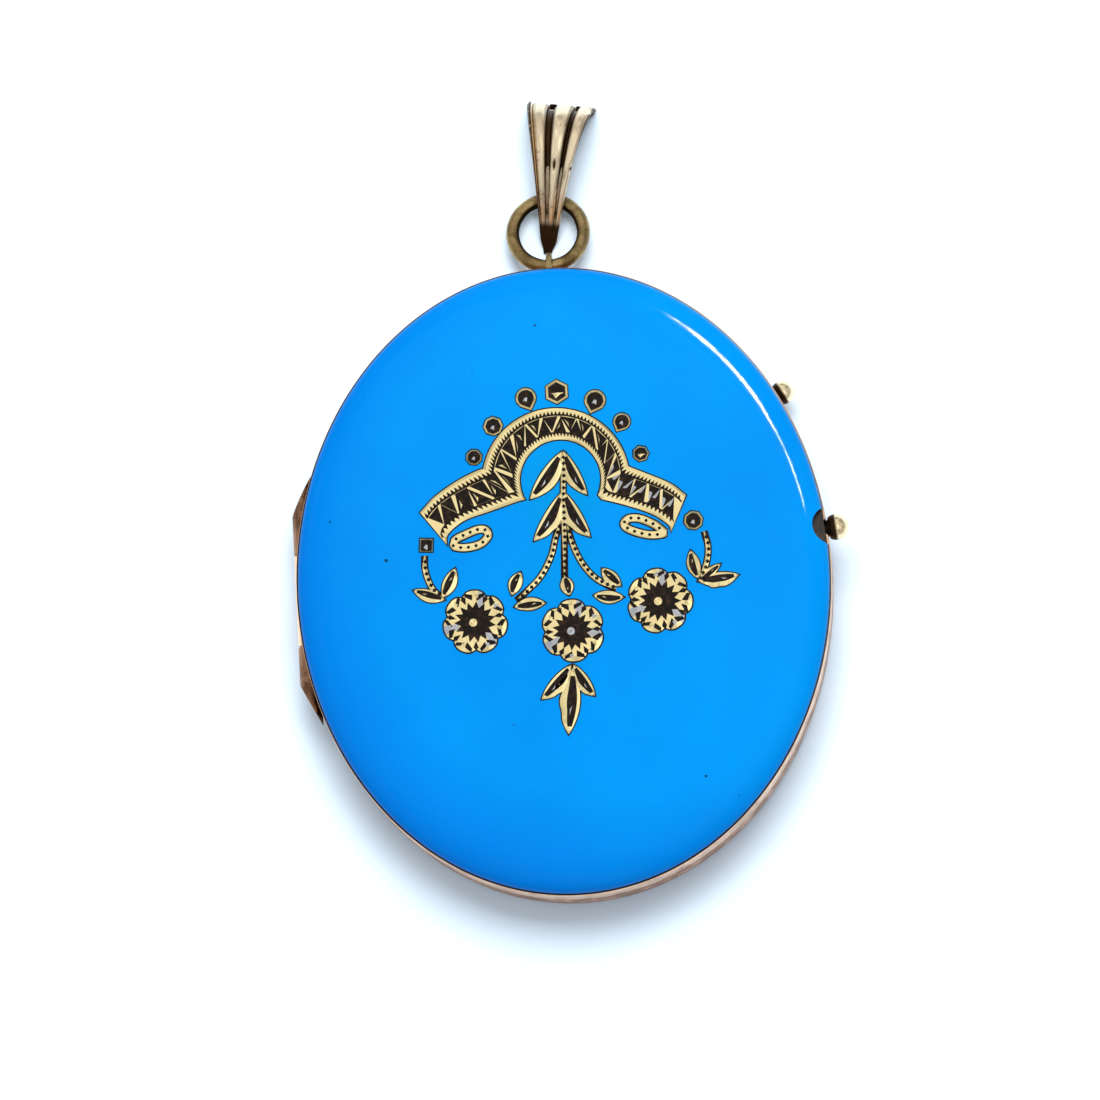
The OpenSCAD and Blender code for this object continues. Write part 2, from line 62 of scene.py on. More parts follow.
# %% Sizes read from the frame
back_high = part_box("back_shell")[1]
HALF_WIDTH = back_high.x / MM
HALF_LENGTH = back_high.y / MM
PARTING = back_high.z / MM
PLATE_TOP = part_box("front_enamel")[0].z / MM
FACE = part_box("front_enamel")[1].z / MM
RIM_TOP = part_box("front_shell")[1].z / MM
UNDER_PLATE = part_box("front_picture_card")[1].z / MM
print("oval half axes in mm:", round(HALF_WIDTH, 2), round(HALF_LENGTH, 2), "face at", round(FACE, 2))

# %% [markdown]
# ## Meshes from lists
# Each piece here is a mesh built from points and faces, so its shape is exact and repeatable.
# A collector keeps points, faces and the material of each face until the piece is finished.

# %% A collector for one piece
def soft_step(value, low, high):
    """0 below low, 1 above high and smooth between."""
    t = min(1.0, max(0.0, (value - low) / (high - low)))
    return t * t * (3 - 2 * t)


class Piece:
    """Points, faces and face materials of one piece, all in millimetres."""

    def __init__(self, name, *materials):
        self.name = name
        self.materials = materials
        self.points = []
        self.faces = []
        self.face_materials = []
        self.hollow = {}

    def point(self, x, y, z, hollow=None):
        self.points.append((x, y, z))
        if hollow is not None:
            self.hollow[len(self.points) - 1] = hollow
        return len(self.points) - 1

    def face(self, corners, material=0):
        self.faces.append(tuple(corners))
        self.face_materials.append(material)

    def join(self, rows, material=0, around=True, looped=False):
        """Fills between neighbouring rows of points with four-sided faces.

        around closes each row on itself, and looped joins the last row to the first.
        """
        pairs = list(zip(rows, rows[1:]))
        if looped:
            pairs.append((rows[-1], rows[0]))
        count = len(rows[0])
        for low, high in pairs:
            for i in range(count if around else count - 1):
                j = (i + 1) % count
                self.face((low[i], low[j], high[j], high[i]), material)

    def solid(self):
        """An object of these faces, still in millimetres, with its faces turned outward."""
        mesh = bpy.data.meshes.new(self.name)
        mesh.from_pydata(self.points, [], self.faces)
        for material in self.materials:
            mesh.materials.append(material)
        mesh.polygons.foreach_set("material_index", self.face_materials)
        if self.hollow:
            values = [self.hollow.get(i, 0.0) for i in range(len(self.points))]
            mesh.attributes.new("hollow", "FLOAT", "POINT").data.foreach_set("value", values)
        work = bmesh.new()
        work.from_mesh(mesh)
        bmesh.ops.recalc_face_normals(work, faces=work.faces)
        work.to_mesh(mesh)
        work.free()
        made = bpy.data.objects.new(self.name, mesh)
        bpy.context.scene.collection.objects.link(made)
        return made


def cut_away(made, cutters):
    """Cuts the cutters out of a solid and throws the cutters away."""
    for cutter in cutters:
        cut = made.modifiers.new("cut", "BOOLEAN")
        cut.operation, cut.solver, cut.object = "DIFFERENCE", "EXACT", cutter
    bpy.context.view_layer.update()
    graph = bpy.context.evaluated_depsgraph_get()
    mesh = bpy.data.meshes.new_from_object(made.evaluated_get(graph))
    made.modifiers.clear()
    made.data = mesh
    for cutter in cutters:
        bpy.data.objects.remove(cutter)
    return made


def settle(made, body, nodes, sharp=32):
    """Brings a solid to metres, shades it, and lets it stand for its CAD nodes."""
    made.data.transform(Matrix.Scale(MM, 4))
    made.data.polygons.foreach_set("use_smooth", [True] * len(made.data.polygons))
    made.data.set_sharp_from_angle(angle=math.radians(sharp))
    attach(made, body)
    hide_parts(*nodes)
    print(made.name, "has", len(made.data.polygons), "faces")
    return made


# %% [markdown]
# ## Shader groups
# Old gold is never even: it has fine scratches, a brown skin in its hollows and bright worn edges, and its
# creases also carry painted shade.
# Each of these effects is a small node group with named inputs, used by several materials.
# The groups give out masks and values only, and each material keeps its own Principled shader.

# %% Helpers for node trees
def add(tree, kind, **settings):
    """Adds a node and sets its plain attributes."""
    node = tree.nodes.new(kind)
    for key, value in settings.items():
        setattr(node, key, value)
    return node


def put(node, **values):
    """Sets input sockets by name; an underscore stands for a space."""
    for key, value in values.items():
        node.inputs[key.replace("_", " ")].default_value = value
    return node


def math_node(tree, operation, a, b=None, clamp=False):
    """A Math node whose inputs are sockets or numbers."""
    node = add(tree, "ShaderNodeMath", operation=operation, use_clamp=clamp)
    for socket, value in zip(node.inputs, (a, b)):
        if value is None:
            continue
        if isinstance(value, (int, float)):
            socket.default_value = value
        else:
            tree.links.new(value, socket)
    return node.outputs[0]


def blend_colour(tree, mask, first, second):
    """Mixes two colours, given as sockets or RGBA, by a mask socket."""
    node = add(tree, "ShaderNodeMix", data_type="RGBA")
    tree.links.new(mask, node.inputs["Factor"])
    for socket, value in ((node.inputs[6], first), (node.inputs[7], second)):
        if isinstance(value, (tuple, list)):
            socket.default_value = value
        else:
            tree.links.new(value, socket)
    return node.outputs[2]


def fit(tree, value, low, high, out_low=0.0, out_high=1.0):
    """Maps a value from one range to another and clamps it."""
    node = add(tree, "ShaderNodeMapRange", clamp=True)
    tree.links.new(value, node.inputs["Value"])
    put(node, From_Min=low, From_Max=high, To_Min=out_low, To_Max=out_high)
    return node.outputs["Result"]


def new_group(name, inputs, outputs):
    """An empty shader group with float inputs (name, default) and named float outputs."""
    group = bpy.data.node_groups.new(name, "ShaderNodeTree")
    for label, default in inputs:
        socket = group.interface.new_socket(label, in_out="INPUT", socket_type="NodeSocketFloat")
        socket.default_value = default
    for label in outputs:
        group.interface.new_socket(label, in_out="OUTPUT", socket_type="NodeSocketFloat")
    return group, add(group, "NodeGroupInput"), add(group, "NodeGroupOutput")


def scaled_place(tree, scale, stretch=(1, 1, 1)):
    """Object coordinates in millimetres, times a scale socket and a fixed stretch."""
    place = add(tree, "ShaderNodeTexCoord")
    in_mm = add(tree, "ShaderNodeVectorMath", operation="MULTIPLY")
    in_mm.inputs[1].default_value = tuple(s / MM for s in stretch)
    tree.links.new(place.outputs["Object"], in_mm.inputs[0])
    sized = add(tree, "ShaderNodeVectorMath", operation="SCALE")
    tree.links.new(in_mm.outputs[0], sized.inputs[0])
    if isinstance(scale, (int, float)):
        sized.inputs["Scale"].default_value = scale
    else:
        tree.links.new(scale, sized.inputs["Scale"])
    return sized.outputs[0]


def noise(tree, place, **values):
    """A Noise texture read at a place, with its inputs set by name."""
    node = put(add(tree, "ShaderNodeTexNoise"), **values)
    tree.links.new(place, node.inputs["Vector"])
    return node.outputs["Fac"]


def weighted_sum(tree, start, *shares):
    """A start value plus each mask times its share."""
    total = start
    for mask, share in shares:
        total = math_node(tree, "ADD", math_node(tree, "MULTIPLY", mask, share), total)
    return total


print("helpers for node trees are ready")

# %% Fine scratches
def make_scratch_group():
    """Hairline scratches in three directions; Amount is how many survive."""
    group, entry, leave = new_group(
        "Fine scratches", [("Scale", 1.0), ("Amount", 0.3)], ["Mask", "Height"]
    )
    layers = []
    for stretch in ((9.0, 0.5, 2.0), (0.6, 7.0, 2.5), (4.0, 4.5, 0.5)):
        place = scaled_place(group, entry.outputs["Scale"], stretch)
        waves = noise(group, place, Scale=1.3, Detail=3.0, Roughness=0.65, Distortion=0.35)
        crest = math_node(group, "ABSOLUTE", math_node(group, "SUBTRACT", waves, 0.5))
        layers.append(fit(group, crest, 0.0, 0.016, 1.0, 0.0))
    strongest = math_node(group, "MAXIMUM", math_node(group, "MAXIMUM", layers[0], layers[1]), layers[2])
    gaps = noise(group, scaled_place(group, 1.0), Scale=0.9, Detail=2.0)
    limit = math_node(group, "SUBTRACT", 0.75, math_node(group, "MULTIPLY", entry.outputs["Amount"], 0.5))
    kept = fit(group, math_node(group, "SUBTRACT", gaps, limit), 0.0, 0.12)
    mask = math_node(group, "MULTIPLY", strongest, kept, clamp=True)
    group.links.new(mask, leave.inputs["Mask"])
    group.links.new(math_node(group, "MULTIPLY", mask, -1.0), leave.inputs["Height"])
    return group


SCRATCHES = make_scratch_group()
print("group:", SCRATCHES.name)

# %% Brown skin of old metal
def make_patina_group():
    """Cloudy tarnish; Amount moves its edge and Scale sets the size of the clouds."""
    group, entry, leave = new_group("Patina", [("Scale", 1.0), ("Amount", 0.4)], ["Mask", "Grain"])
    place = scaled_place(group, entry.outputs["Scale"])
    clouds = noise(group, place, Scale=0.8, Detail=6.0, Roughness=0.6, Distortion=0.4)
    grain = noise(group, place, Scale=9.0, Detail=4.0, Roughness=0.7)
    mixed = weighted_sum(group, 0.0, (clouds, 0.7), (grain, 0.3))
    edge = math_node(group, "SUBTRACT", 0.72, math_node(group, "MULTIPLY", entry.outputs["Amount"], 0.45))
    mask = fit(group, math_node(group, "SUBTRACT", mixed, edge), 0.0, 0.14)
    group.links.new(mask, leave.inputs["Mask"])
    group.links.new(grain, leave.inputs["Grain"])
    return group


PATINA = make_patina_group()
print("group:", PATINA.name)

# %% A soft oval spot
def make_spot_group():
    """A soft-edged oval in the plan view, placed and sized in millimetres."""
    group, entry, leave = new_group(
        "Soft spot", [("X", 0.0), ("Y", 0.0), ("Width", 1.0), ("Length", 1.0), ("Soft", 0.5)], ["Mask"]
    )
    split = add(group, "ShaderNodeSeparateXYZ")
    group.links.new(scaled_place(group, 1.0), split.inputs[0])
    squares = []
    for axis, centre, size in (("X", "X", "Width"), ("Y", "Y", "Length")):
        away = math_node(group, "SUBTRACT", split.outputs[axis], entry.outputs[centre])
        share = math_node(group, "DIVIDE", away, entry.outputs[size])
        squares.append(math_node(group, "MULTIPLY", share, share))
    distance = math_node(group, "SQRT", math_node(group, "ADD", squares[0], squares[1]))
    inside = math_node(group, "SUBTRACT", 1.0, distance)
    group.links.new(
        math_node(group, "DIVIDE", inside, entry.outputs["Soft"], clamp=True), leave.inputs["Mask"]
    )
    return group


SPOT = make_spot_group()
print("group:", SPOT.name)

# %% Wear on edges, and dirt with painted shade in corners
def make_edge_group():
    """Edges from the surface's own curvature: Wear on ridges, and dirt with painted shade in hollows."""
    group, entry, leave = new_group("Edge wear", [("Spread", 0.04)], ["Wear", "Dirt and shade"])
    geometry = add(group, "ShaderNodeNewGeometry")
    above = math_node(group, "SUBTRACT", geometry.outputs["Pointiness"], 0.5)
    ratio = math_node(group, "DIVIDE", above, entry.outputs["Spread"])
    group.links.new(fit(group, ratio, 0.2, 1.0), leave.inputs["Wear"])
    group.links.new(fit(group, ratio, -0.2, -1.0), leave.inputs["Dirt and shade"])
    return group


EDGES = make_edge_group()
print("group:", EDGES.name)

# %% [markdown]
# ## Gold in eight tempers
# Gold-filled sheet is a thin skin of gold on brass. It stays yellow where it is thick,
# turns reddish where it wears through, and goes brown in the hollows, where painted shade darkens it further.
# One recipe with different colours gives the case, the more worn back and knuckles, the
# polished and fluted parts, the bronze ring and the bright-cut ornament, so the pieces
# look like one family of metal.

# %% The gold recipe
SKIN_COVER = 0.75
CORNER_SHADE = 0.45


def place_group(tree, group, **values):
    """A group node in a material, with its inputs set."""
    node = add(tree, "ShaderNodeGroup", node_tree=group)
    return put(node, **values)


def start_material(name):
    """A node material with an empty tree, its Principled shader and its output."""
    material = bpy.data.materials.new(name)
    material.use_nodes = True
    tree = material.node_tree
    tree.nodes.clear()
    shader = add(tree, "ShaderNodeBsdfPrincipled")
    output = add(tree, "ShaderNodeOutputMaterial")
    tree.links.new(shader.outputs[0], output.inputs["Surface"])
    return material, tree, shader


def raise_surface(tree, shader, height, strength, depth):
    """Feeds a height through a Bump node, with its depth in metres, into the shader's normal."""
    bump = put(add(tree, "ShaderNodeBump"), Strength=strength, Distance=depth)
    tree.links.new(height, bump.inputs["Height"])
    tree.links.new(bump.outputs[0], shader.inputs["Normal"])


def gold_recipe(name, clean, worn, dirty, polish, patina, scratches, dirt_and_shade_attribute=None):
    """Old gold: clean colour, worn-through colour, brown skin, roughness and amounts.

    dirt_and_shade_attribute names a mesh attribute from 0 on ridges to 1 in grooves; it marks where dirt and
    painted shade darken the gold.
    """
    material, tree, shader = start_material(name)
    patina_node = place_group(tree, PATINA, Scale=1.2, Amount=patina)
    scratch_node = place_group(tree, SCRATCHES, Scale=1.0, Amount=scratches)
    edge_node = place_group(tree, EDGES, Spread=0.05)
    grain = patina_node.outputs["Grain"]
    drift = noise(tree, scaled_place(tree, 1.0), Scale=0.35, Detail=2.0)
    colour = blend_colour(tree, fit(tree, drift, 0.38, 0.68, 0.0, 0.5), clean, worn)
    skin = math_node(tree, "MULTIPLY", patina_node.outputs["Mask"], SKIN_COVER)
    colour = blend_colour(tree, skin, colour, dirty)
    dirt_and_shade = edge_node.outputs["Dirt and shade"]
    if dirt_and_shade_attribute:
        attribute = add(tree, "ShaderNodeAttribute", attribute_name=dirt_and_shade_attribute)
        ragged = math_node(tree, "SUBTRACT", grain, 0.5)
        uneven = weighted_sum(tree, attribute.outputs["Fac"], (ragged, 0.5))
        dirt_and_shade = math_node(tree, "MAXIMUM", dirt_and_shade, fit(tree, uneven, 0.25, 0.85))
    colour = blend_colour(tree, edge_node.outputs["Wear"], colour, clean)
    # Dirt and painted shade: marked places and creases turn to a darker share of the brown skin colour.
    colour = blend_colour(tree, dirt_and_shade, colour, tuple(CORNER_SHADE * c for c in dirty[:3]) + (1,))
    tree.links.new(colour, shader.inputs["Base Color"])
    rough = weighted_sum(
        tree, polish, (grain, 0.12), (skin, 0.18), (dirt_and_shade, 0.25), (scratch_node.outputs["Mask"], 0.15)
    )
    tree.links.new(rough, shader.inputs["Roughness"])
    shader.inputs["Metallic"].default_value = 1.0
    height = weighted_sum(tree, 0.0, (scratch_node.outputs["Height"], 0.5), (grain, 0.25))
    raise_surface(tree, shader, height, 0.35, 0.01 * MM)
    return material


print("the skin covers", SKIN_COVER, "of the gold where it is thickest")

# %% Golds of the case
CASE_GOLD = gold_recipe(
    "case gold", clean=(1.0, 0.66, 0.42, 1), worn=(0.75, 0.39, 0.24, 1),
    dirty=(0.20, 0.085, 0.045, 1), polish=0.20, patina=0.55, scratches=0.7, dirt_and_shade_attribute="hollow",
)
PAN_GOLD = gold_recipe(
    "worn pan gold", clean=(0.83, 0.45, 0.28, 1), worn=(0.50, 0.26, 0.15, 1),
    dirty=(0.14, 0.06, 0.035, 1), polish=0.24, patina=0.8, scratches=0.8, dirt_and_shade_attribute="hollow",
)
KNUCKLE_GOLD = gold_recipe(
    "worn knuckle gold", clean=(0.44, 0.235, 0.135, 1), worn=(0.28, 0.135, 0.075, 1),
    dirty=(0.08, 0.035, 0.02, 1), polish=0.26, patina=0.75, scratches=0.6, dirt_and_shade_attribute="hollow",
)
POLISHED_GOLD = gold_recipe(
    "polished gold", clean=(1.0, 0.82, 0.52, 1), worn=(0.90, 0.66, 0.40, 1),
    dirty=(0.09, 0.045, 0.02, 1), polish=0.14, patina=0.25, scratches=0.35, dirt_and_shade_attribute="hollow",
)
print("metals made:", CASE_GOLD.name, PAN_GOLD.name, KNUCKLE_GOLD.name, POLISHED_GOLD.name)

# %% Golds of the bail, the ring and the ornament
FLUTED_GOLD = gold_recipe(
    "fluted gold", clean=(1.0, 0.81, 0.55, 1), worn=(0.92, 0.62, 0.40, 1),
    dirty=(0.15, 0.075, 0.035, 1), polish=0.20, patina=0.35, scratches=0.5, dirt_and_shade_attribute="hollow",
)
BRONZE_GOLD = gold_recipe(
    "bronze gold", clean=(0.50, 0.355, 0.15, 1), worn=(0.27, 0.17, 0.07, 1),
    dirty=(0.10, 0.055, 0.022, 1), polish=0.22, patina=0.65, scratches=0.6, dirt_and_shade_attribute="hollow",
)
CUT_GOLD = gold_recipe(
    "bright-cut gold", clean=(1.0, 0.80, 0.40, 1), worn=(0.98, 0.70, 0.33, 1),
    dirty=(0.50, 0.27, 0.13, 1), polish=0.12, patina=0.2, scratches=0.2,
)
CUT_SILVER = gold_recipe(
    "greyed facet", clean=(0.56, 0.55, 0.56, 1), worn=(0.42, 0.40, 0.40, 1),
    dirty=(0.2, 0.16, 0.12, 1), polish=0.16, patina=0.2, scratches=0.2,
)
print("metals made:", FLUTED_GOLD.name, BRONZE_GOLD.name, CUT_GOLD.name, CUT_SILVER.name)

# %% [markdown]
# ## Black in the cuts
# The engraver's cuts are filled with a dark brown-black enamel, and a dark line runs round
# every piece of gold where it meets the blue. It is a rough glass with a brown cast.

# %% Black filling
def black_filling():
    """Dark enamel in the engraved cuts, mottled from black to warm brown."""
    material, tree, shader = start_material("black filling")
    patina_node = place_group(tree, PATINA, Scale=5.0, Amount=0.5)
    tint = math_node(tree, "MULTIPLY", patina_node.outputs["Mask"], 0.6)
    colour = blend_colour(tree, tint, (0.006, 0.004, 0.003, 1), (0.050, 0.024, 0.012, 1))
    tree.links.new(colour, shader.inputs["Base Color"])
    rough = weighted_sum(tree, 0.25, (patina_node.outputs["Grain"], 0.25))
    tree.links.new(rough, shader.inputs["Roughness"])
    shader.inputs["Specular IOR Level"].default_value = 0.12
    return material


BLACK = black_filling()
print("material:", BLACK.name)

# %% [markdown]
# ## Blue enamel
# Vitreous enamel is coloured glass fused to the gold plate. It has a deep even colour,
# a hard gloss, and here and there a pinhole, a speck or a hair scratch from a century of wear.
# Such dense glass lets no light through, so it is an opaque gloss whose colour drifts a
# little and is a touch greener inside the arch; painted shade deepens it towards the rim, most on the left
# and at the bottom.

# %% Enamel material
DEEP_BLUE = (0.0, 0.186, 0.575, 1)
LIGHT_BLUE = (0.0, 0.215, 0.62, 1)
GRAIN_BLUE = (0.0, 0.16, 0.50, 1)
PINHOLE_BLUE = (0.01, 0.06, 0.22, 1)
GREENISH_BLUE = (0.0, 0.21, 0.40, 1)
# Painted shade: the blue the enamel takes towards its rim.
PAINTED_SHADE_BLUE = (0.0, 0.135, 0.52, 1)
SPECK_BLACK = (0.004, 0.012, 0.03, 1)
# Specks in the glass: place across, place along and size in millimetres.
SPECKS = [(-9.0, 1.4, 0.13), (6.8, -10.8, 0.10), (-0.7, 13.2, 0.09), (-5.9, -2.4, 0.08), (-11.8, 3.6, 0.08)]


def enamel_spots(tree, colour):
    """Adds the greenish arch, painted shade towards the rim and the specks to the enamel's colour."""
    arch = place_group(tree, SPOT, X=0.2, Y=4.4, Width=2.6, Length=3.2, Soft=0.5)
    spray = place_group(tree, SPOT, X=0.2, Y=0.4, Width=3.2, Length=3.0, Soft=0.6)
    faint_spray = math_node(tree, "MULTIPLY", spray.outputs["Mask"], 0.5)
    tint = math_node(tree, "MAXIMUM", arch.outputs["Mask"], faint_spray)
    colour = blend_colour(tree, math_node(tree, "MULTIPLY", tint, 0.35), colour, GREENISH_BLUE)
    # Painted shade: outside a soft oval set right of and above the middle, the blue deepens, most on the left
    # and at the bottom.
    bright = place_group(tree, SPOT, X=2.5, Y=1.5, Width=17.0, Length=19.0, Soft=0.30)
    colour = blend_colour(tree, bright.outputs["Mask"], PAINTED_SHADE_BLUE, colour)
    for x, y, size in SPECKS:
        speck = place_group(tree, SPOT, X=x, Y=y, Width=size, Length=0.8 * size, Soft=0.5)
        colour = blend_colour(tree, speck.outputs["Mask"], colour, SPECK_BLACK)
    return colour


def blue_enamel():
    """Turquoise-blue glass with faint clouds, pinholes and hair scratches."""
    material, tree, shader = start_material("blue enamel")
    place = scaled_place(tree, 1.0)
    clouds = noise(tree, place, Scale=0.12, Detail=3.0, Roughness=0.5)
    grain = noise(tree, place, Scale=7.0, Detail=3.0, Roughness=0.6)
    colour = blend_colour(tree, fit(tree, clouds, 0.35, 0.65), DEEP_BLUE, LIGHT_BLUE)
    colour = blend_colour(tree, fit(tree, grain, 0.62, 0.80, 0.0, 0.25), colour, GRAIN_BLUE)
    pores = put(add(tree, "ShaderNodeTexVoronoi"), Scale=0.55, Randomness=1.0)
    tree.links.new(place, pores.inputs["Vector"])
    pinhole = fit(tree, pores.outputs["Distance"], 0.02, 0.035, 1.0, 0.0)
    colour = enamel_spots(tree, blend_colour(tree, pinhole, colour, PINHOLE_BLUE))
    tree.links.new(colour, shader.inputs["Base Color"])
    scratch_node = place_group(tree, SCRATCHES, Scale=0.6, Amount=0.25)
    rough = weighted_sum(tree, 0.05, (scratch_node.outputs["Mask"], 0.12))
    tree.links.new(rough, shader.inputs["Roughness"])
    shader.inputs["Specular IOR Level"].default_value = 0.04
    height = math_node(tree, "SUBTRACT", math_node(tree, "MULTIPLY", grain, 0.15), pinhole)
    raise_surface(tree, shader, height, 0.15, 0.02 * MM)
    return material


ENAMEL = blue_enamel()
print("material:", ENAMEL.name, "with", len(SPECKS), "specks")

# %% [markdown]
# ## Crystal and card
# Each half holds a blank card under a thin flat crystal. The card is slightly yellowed laid
# paper with fibres. The crystal is clear glass with a few faint scratches. Glass that bends
# every ray would keep the soft light from the card behind it, so rays on their way to a lamp,
# and rays that leave the card, go straight through.

# %% Glass and paper
def clear_crystal():
    """Clear flat glass; its metallic and transmission stay plain numbers."""
    material, tree, shader = start_material("clear crystal")
    scratch_node = place_group(tree, SCRATCHES, Scale=0.8, Amount=0.35)
    rough = weighted_sum(tree, 0.02, (scratch_node.outputs["Mask"], 0.2))
    tree.links.new(rough, shader.inputs["Roughness"])
    shader.inputs["Base Color"].default_value = (0.97, 0.99, 0.98, 1)
    shader.inputs["Transmission Weight"].default_value = 1.0
    shader.inputs["IOR"].default_value = 1.5
    output = shader.outputs[0].links[0].to_node
    path = add(tree, "ShaderNodeLightPath")
    open_rays = math_node(tree, "MAXIMUM", path.outputs["Is Shadow Ray"], path.outputs["Is Diffuse Ray"])
    choice = add(tree, "ShaderNodeMixShader")
    tree.links.new(open_rays, choice.inputs[0])
    tree.links.new(shader.outputs[0], choice.inputs[1])
    tree.links.new(add(tree, "ShaderNodeBsdfTransparent").outputs[0], choice.inputs[2])
    tree.links.new(choice.outputs[0], output.inputs["Surface"])
    return material


def aged_card():
    """Laid paper with faint lines, fibres and a few foxed spots."""
    material, tree, shader = start_material("aged card")
    along_fibres = scaled_place(tree, 1.0, (1.0, 0.25, 1.0))
    fibres = noise(tree, along_fibres, Scale=3.0, Detail=6.0, Roughness=0.7, Distortion=1.2)
    lines = put(add(tree, "ShaderNodeTexWave", bands_direction="Y"), Scale=0.45, Distortion=0.4, Detail=2.0)
    tree.links.new(scaled_place(tree, 1.0), lines.inputs["Vector"])
    patina_node = place_group(tree, PATINA, Scale=0.5, Amount=0.28)
    foxing = math_node(tree, "MULTIPLY", patina_node.outputs["Mask"], 0.5)
    colour = blend_colour(tree, fibres, (0.56, 0.49, 0.36, 1), (0.66, 0.60, 0.48, 1))
    colour = blend_colour(tree, foxing, colour, (0.50, 0.33, 0.16, 1))
    tree.links.new(colour, shader.inputs["Base Color"])
    tree.links.new(fit(tree, fibres, 0.2, 0.8, 0.75, 0.95), shader.inputs["Roughness"])
    raise_surface(tree, shader, weighted_sum(tree, fibres, (lines.outputs["Fac"], 0.4)), 0.4, 0.03 * MM)
    return material


CRYSTAL = clear_crystal()
CARD = aged_card()
print("materials:", CRYSTAL.name, CARD.name)

# %% [markdown]
# ## The oval and its lofts
# A wall of even thickness follows the oval at a fixed distance along its normal, not a scaled copy.
# A loft carries a small profile round that oval. Its corners are rounded first, because
# no polished metal has a perfectly sharp edge.

# %% Oval helpers
OVAL_STEPS = 256


def oval_point(offset, turn):
    """A point at this distance outside the case oval, at an angle in radians."""
    normal = Vector((HALF_LENGTH * math.cos(turn), HALF_WIDTH * math.sin(turn)))
    base = Vector((HALF_WIDTH * math.cos(turn), HALF_LENGTH * math.sin(turn)))
    return base + offset * normal.normalized()


def round_corners(path, radius, steps=4, closed=False):
    """Replaces each corner of a path of 2D points by a small arc-like bend."""
    count = len(path)
    done = []
    for i, corner in enumerate(path):
        if not closed and i in (0, count - 1):
            done.append(Vector(corner))
            continue
        corner = Vector(corner)
        before = Vector(path[i - 1]) - corner
        after = Vector(path[(i + 1) % count]) - corner
        reach = min(radius, 0.45 * before.length, 0.45 * after.length)
        start = corner + before.normalized() * reach
        end = corner + after.normalized() * reach
        for k in range(steps + 1):
            t = k / steps
            done.append(start * (1 - t) ** 2 + corner * 2 * t * (1 - t) + end * t * t)
    return done


def loft(piece, profile, closed=False, material=0, caps=(True, True)):
    """Carries a profile of (offset, height) round the oval; closed joins its end to its start."""
    turns = [2 * math.pi * i / OVAL_STEPS for i in range(OVAL_STEPS)]
    rings = []
    for offset, height in profile:
        rings.append([piece.point(*oval_point(offset, turn), height) for turn in turns])
    piece.join(rings, material, looped=closed)
    if caps[0] and not closed:
        piece.face(reversed(rings[0]), material)
    if caps[1] and not closed:
        piece.face(rings[-1], material)
    return rings


print("oval points a quarter turn apart:", oval_point(0, 0), oval_point(0, math.pi / 2))

# %% Turned bodies and cutters
def circle(centre, side, up, radius, steps):
    """Points of a circle spanned by two directions."""
    angles = [2 * math.pi * i / steps for i in range(steps)]
    return [centre + radius * (math.cos(a) * side + math.sin(a) * up) for a in angles]


def lathe(piece, axis_start, axis_way, profile, steps=64, material=0):
    """Turns a profile of (distance along the axis, radius) into a body of revolution."""
    start, way = Vector(axis_start), Vector(axis_way).normalized()
    side = way.orthogonal().normalized()
    up = way.cross(side)
    rings = []
    for along, radius in profile:
        middle = start + way * along
        spots = [middle] if radius < 1e-6 else circle(middle, side, up, radius, steps)
        rings.append([piece.point(*spot) for spot in spots])
    for low, high in zip(rings, rings[1:]):
        for i in range(steps):
            j = (i + 1) % steps
            corners = [low[i % len(low)], low[j % len(low)], high[j % len(high)], high[i % len(high)]]
            piece.face(dict.fromkeys(corners), material)
    if len(rings[0]) > 1:
        piece.face(reversed(rings[0]), material)
    if len(rings[-1]) > 1:
        piece.face(rings[-1], material)


def rod(name, start, end, radius, steps=48):
    """A plain round bar between two points."""
    start, end = Vector(start), Vector(end)
    along = (end - start).normalized()
    side = along.orthogonal().normalized()
    up = along.cross(side)
    piece = Piece(name)
    rings = [[piece.point(*p) for p in circle(spot, side, up, radius, steps)] for spot in (start, end)]
    piece.join(rings)
    piece.face(reversed(rings[0]))
    piece.face(rings[1])
    return piece.solid()


def ball(name, centre, radius, steps=40):
    """A plain ball."""
    angles = [math.pi * k / steps for k in range(steps + 1)]
    profile = [(-radius * math.cos(a), radius * math.sin(a)) for a in angles]
    profile[0], profile[-1] = (-radius, 0.0), (radius, 0.0)
    piece = Piece(name)
    lathe(piece, centre, (0, 0, 1), profile, steps=2 * steps)
    return piece.solid()


def block(name, plan, low, high):
    """A plain upright block over a plan of corners."""
    piece = Piece(name)
    feet = [piece.point(x, y, low) for x, y in plan]
    tops = [piece.point(x, y, high) for x, y in plan]
    piece.join([feet, tops])
    piece.face(reversed(feet))
    piece.face(tops)
    return piece.solid()


print("cutters: a bar, a ball and a block")

# %% Places of the hinge and the knobs
HINGE_LENGTH = 14.2
HINGE_HALF = HINGE_LENGTH / 2
MIDDLE_HALF = HINGE_LENGTH / 6
HINGE_FLAT_HALF = 4.4
HINGE_END_ANGLE = 27.0
HINGE_X = -HALF_WIDTH + 0.35
KNUCKLE = 0.55
CHANNEL = 0.63
# Each knob: angle round the case in degrees, height of its middle and radius of its ball.
FRONT_KNOB = (6.5, PARTING + 0.67 + 0.48, 0.67)
BACK_KNOB = (34.5, PARTING - 0.62 - 0.33, 0.62)
KNOB_REACH = 0.46


def channel_cutters(middle_radius, outer_radius):
    """Three bars along the hinge line that clear room for the knuckles."""
    overlap, spare = 0.001, 0.2
    inner, outer = MIDDLE_HALF - overlap, HINGE_HALF + spare
    spots = [
        (-MIDDLE_HALF, MIDDLE_HALF, middle_radius), (inner, outer, outer_radius),
        (-outer, -inner, outer_radius),
    ]
    return [rod("bar", (HINGE_X, a, PARTING), (HINGE_X, b, PARTING), r) for a, b, r in spots]


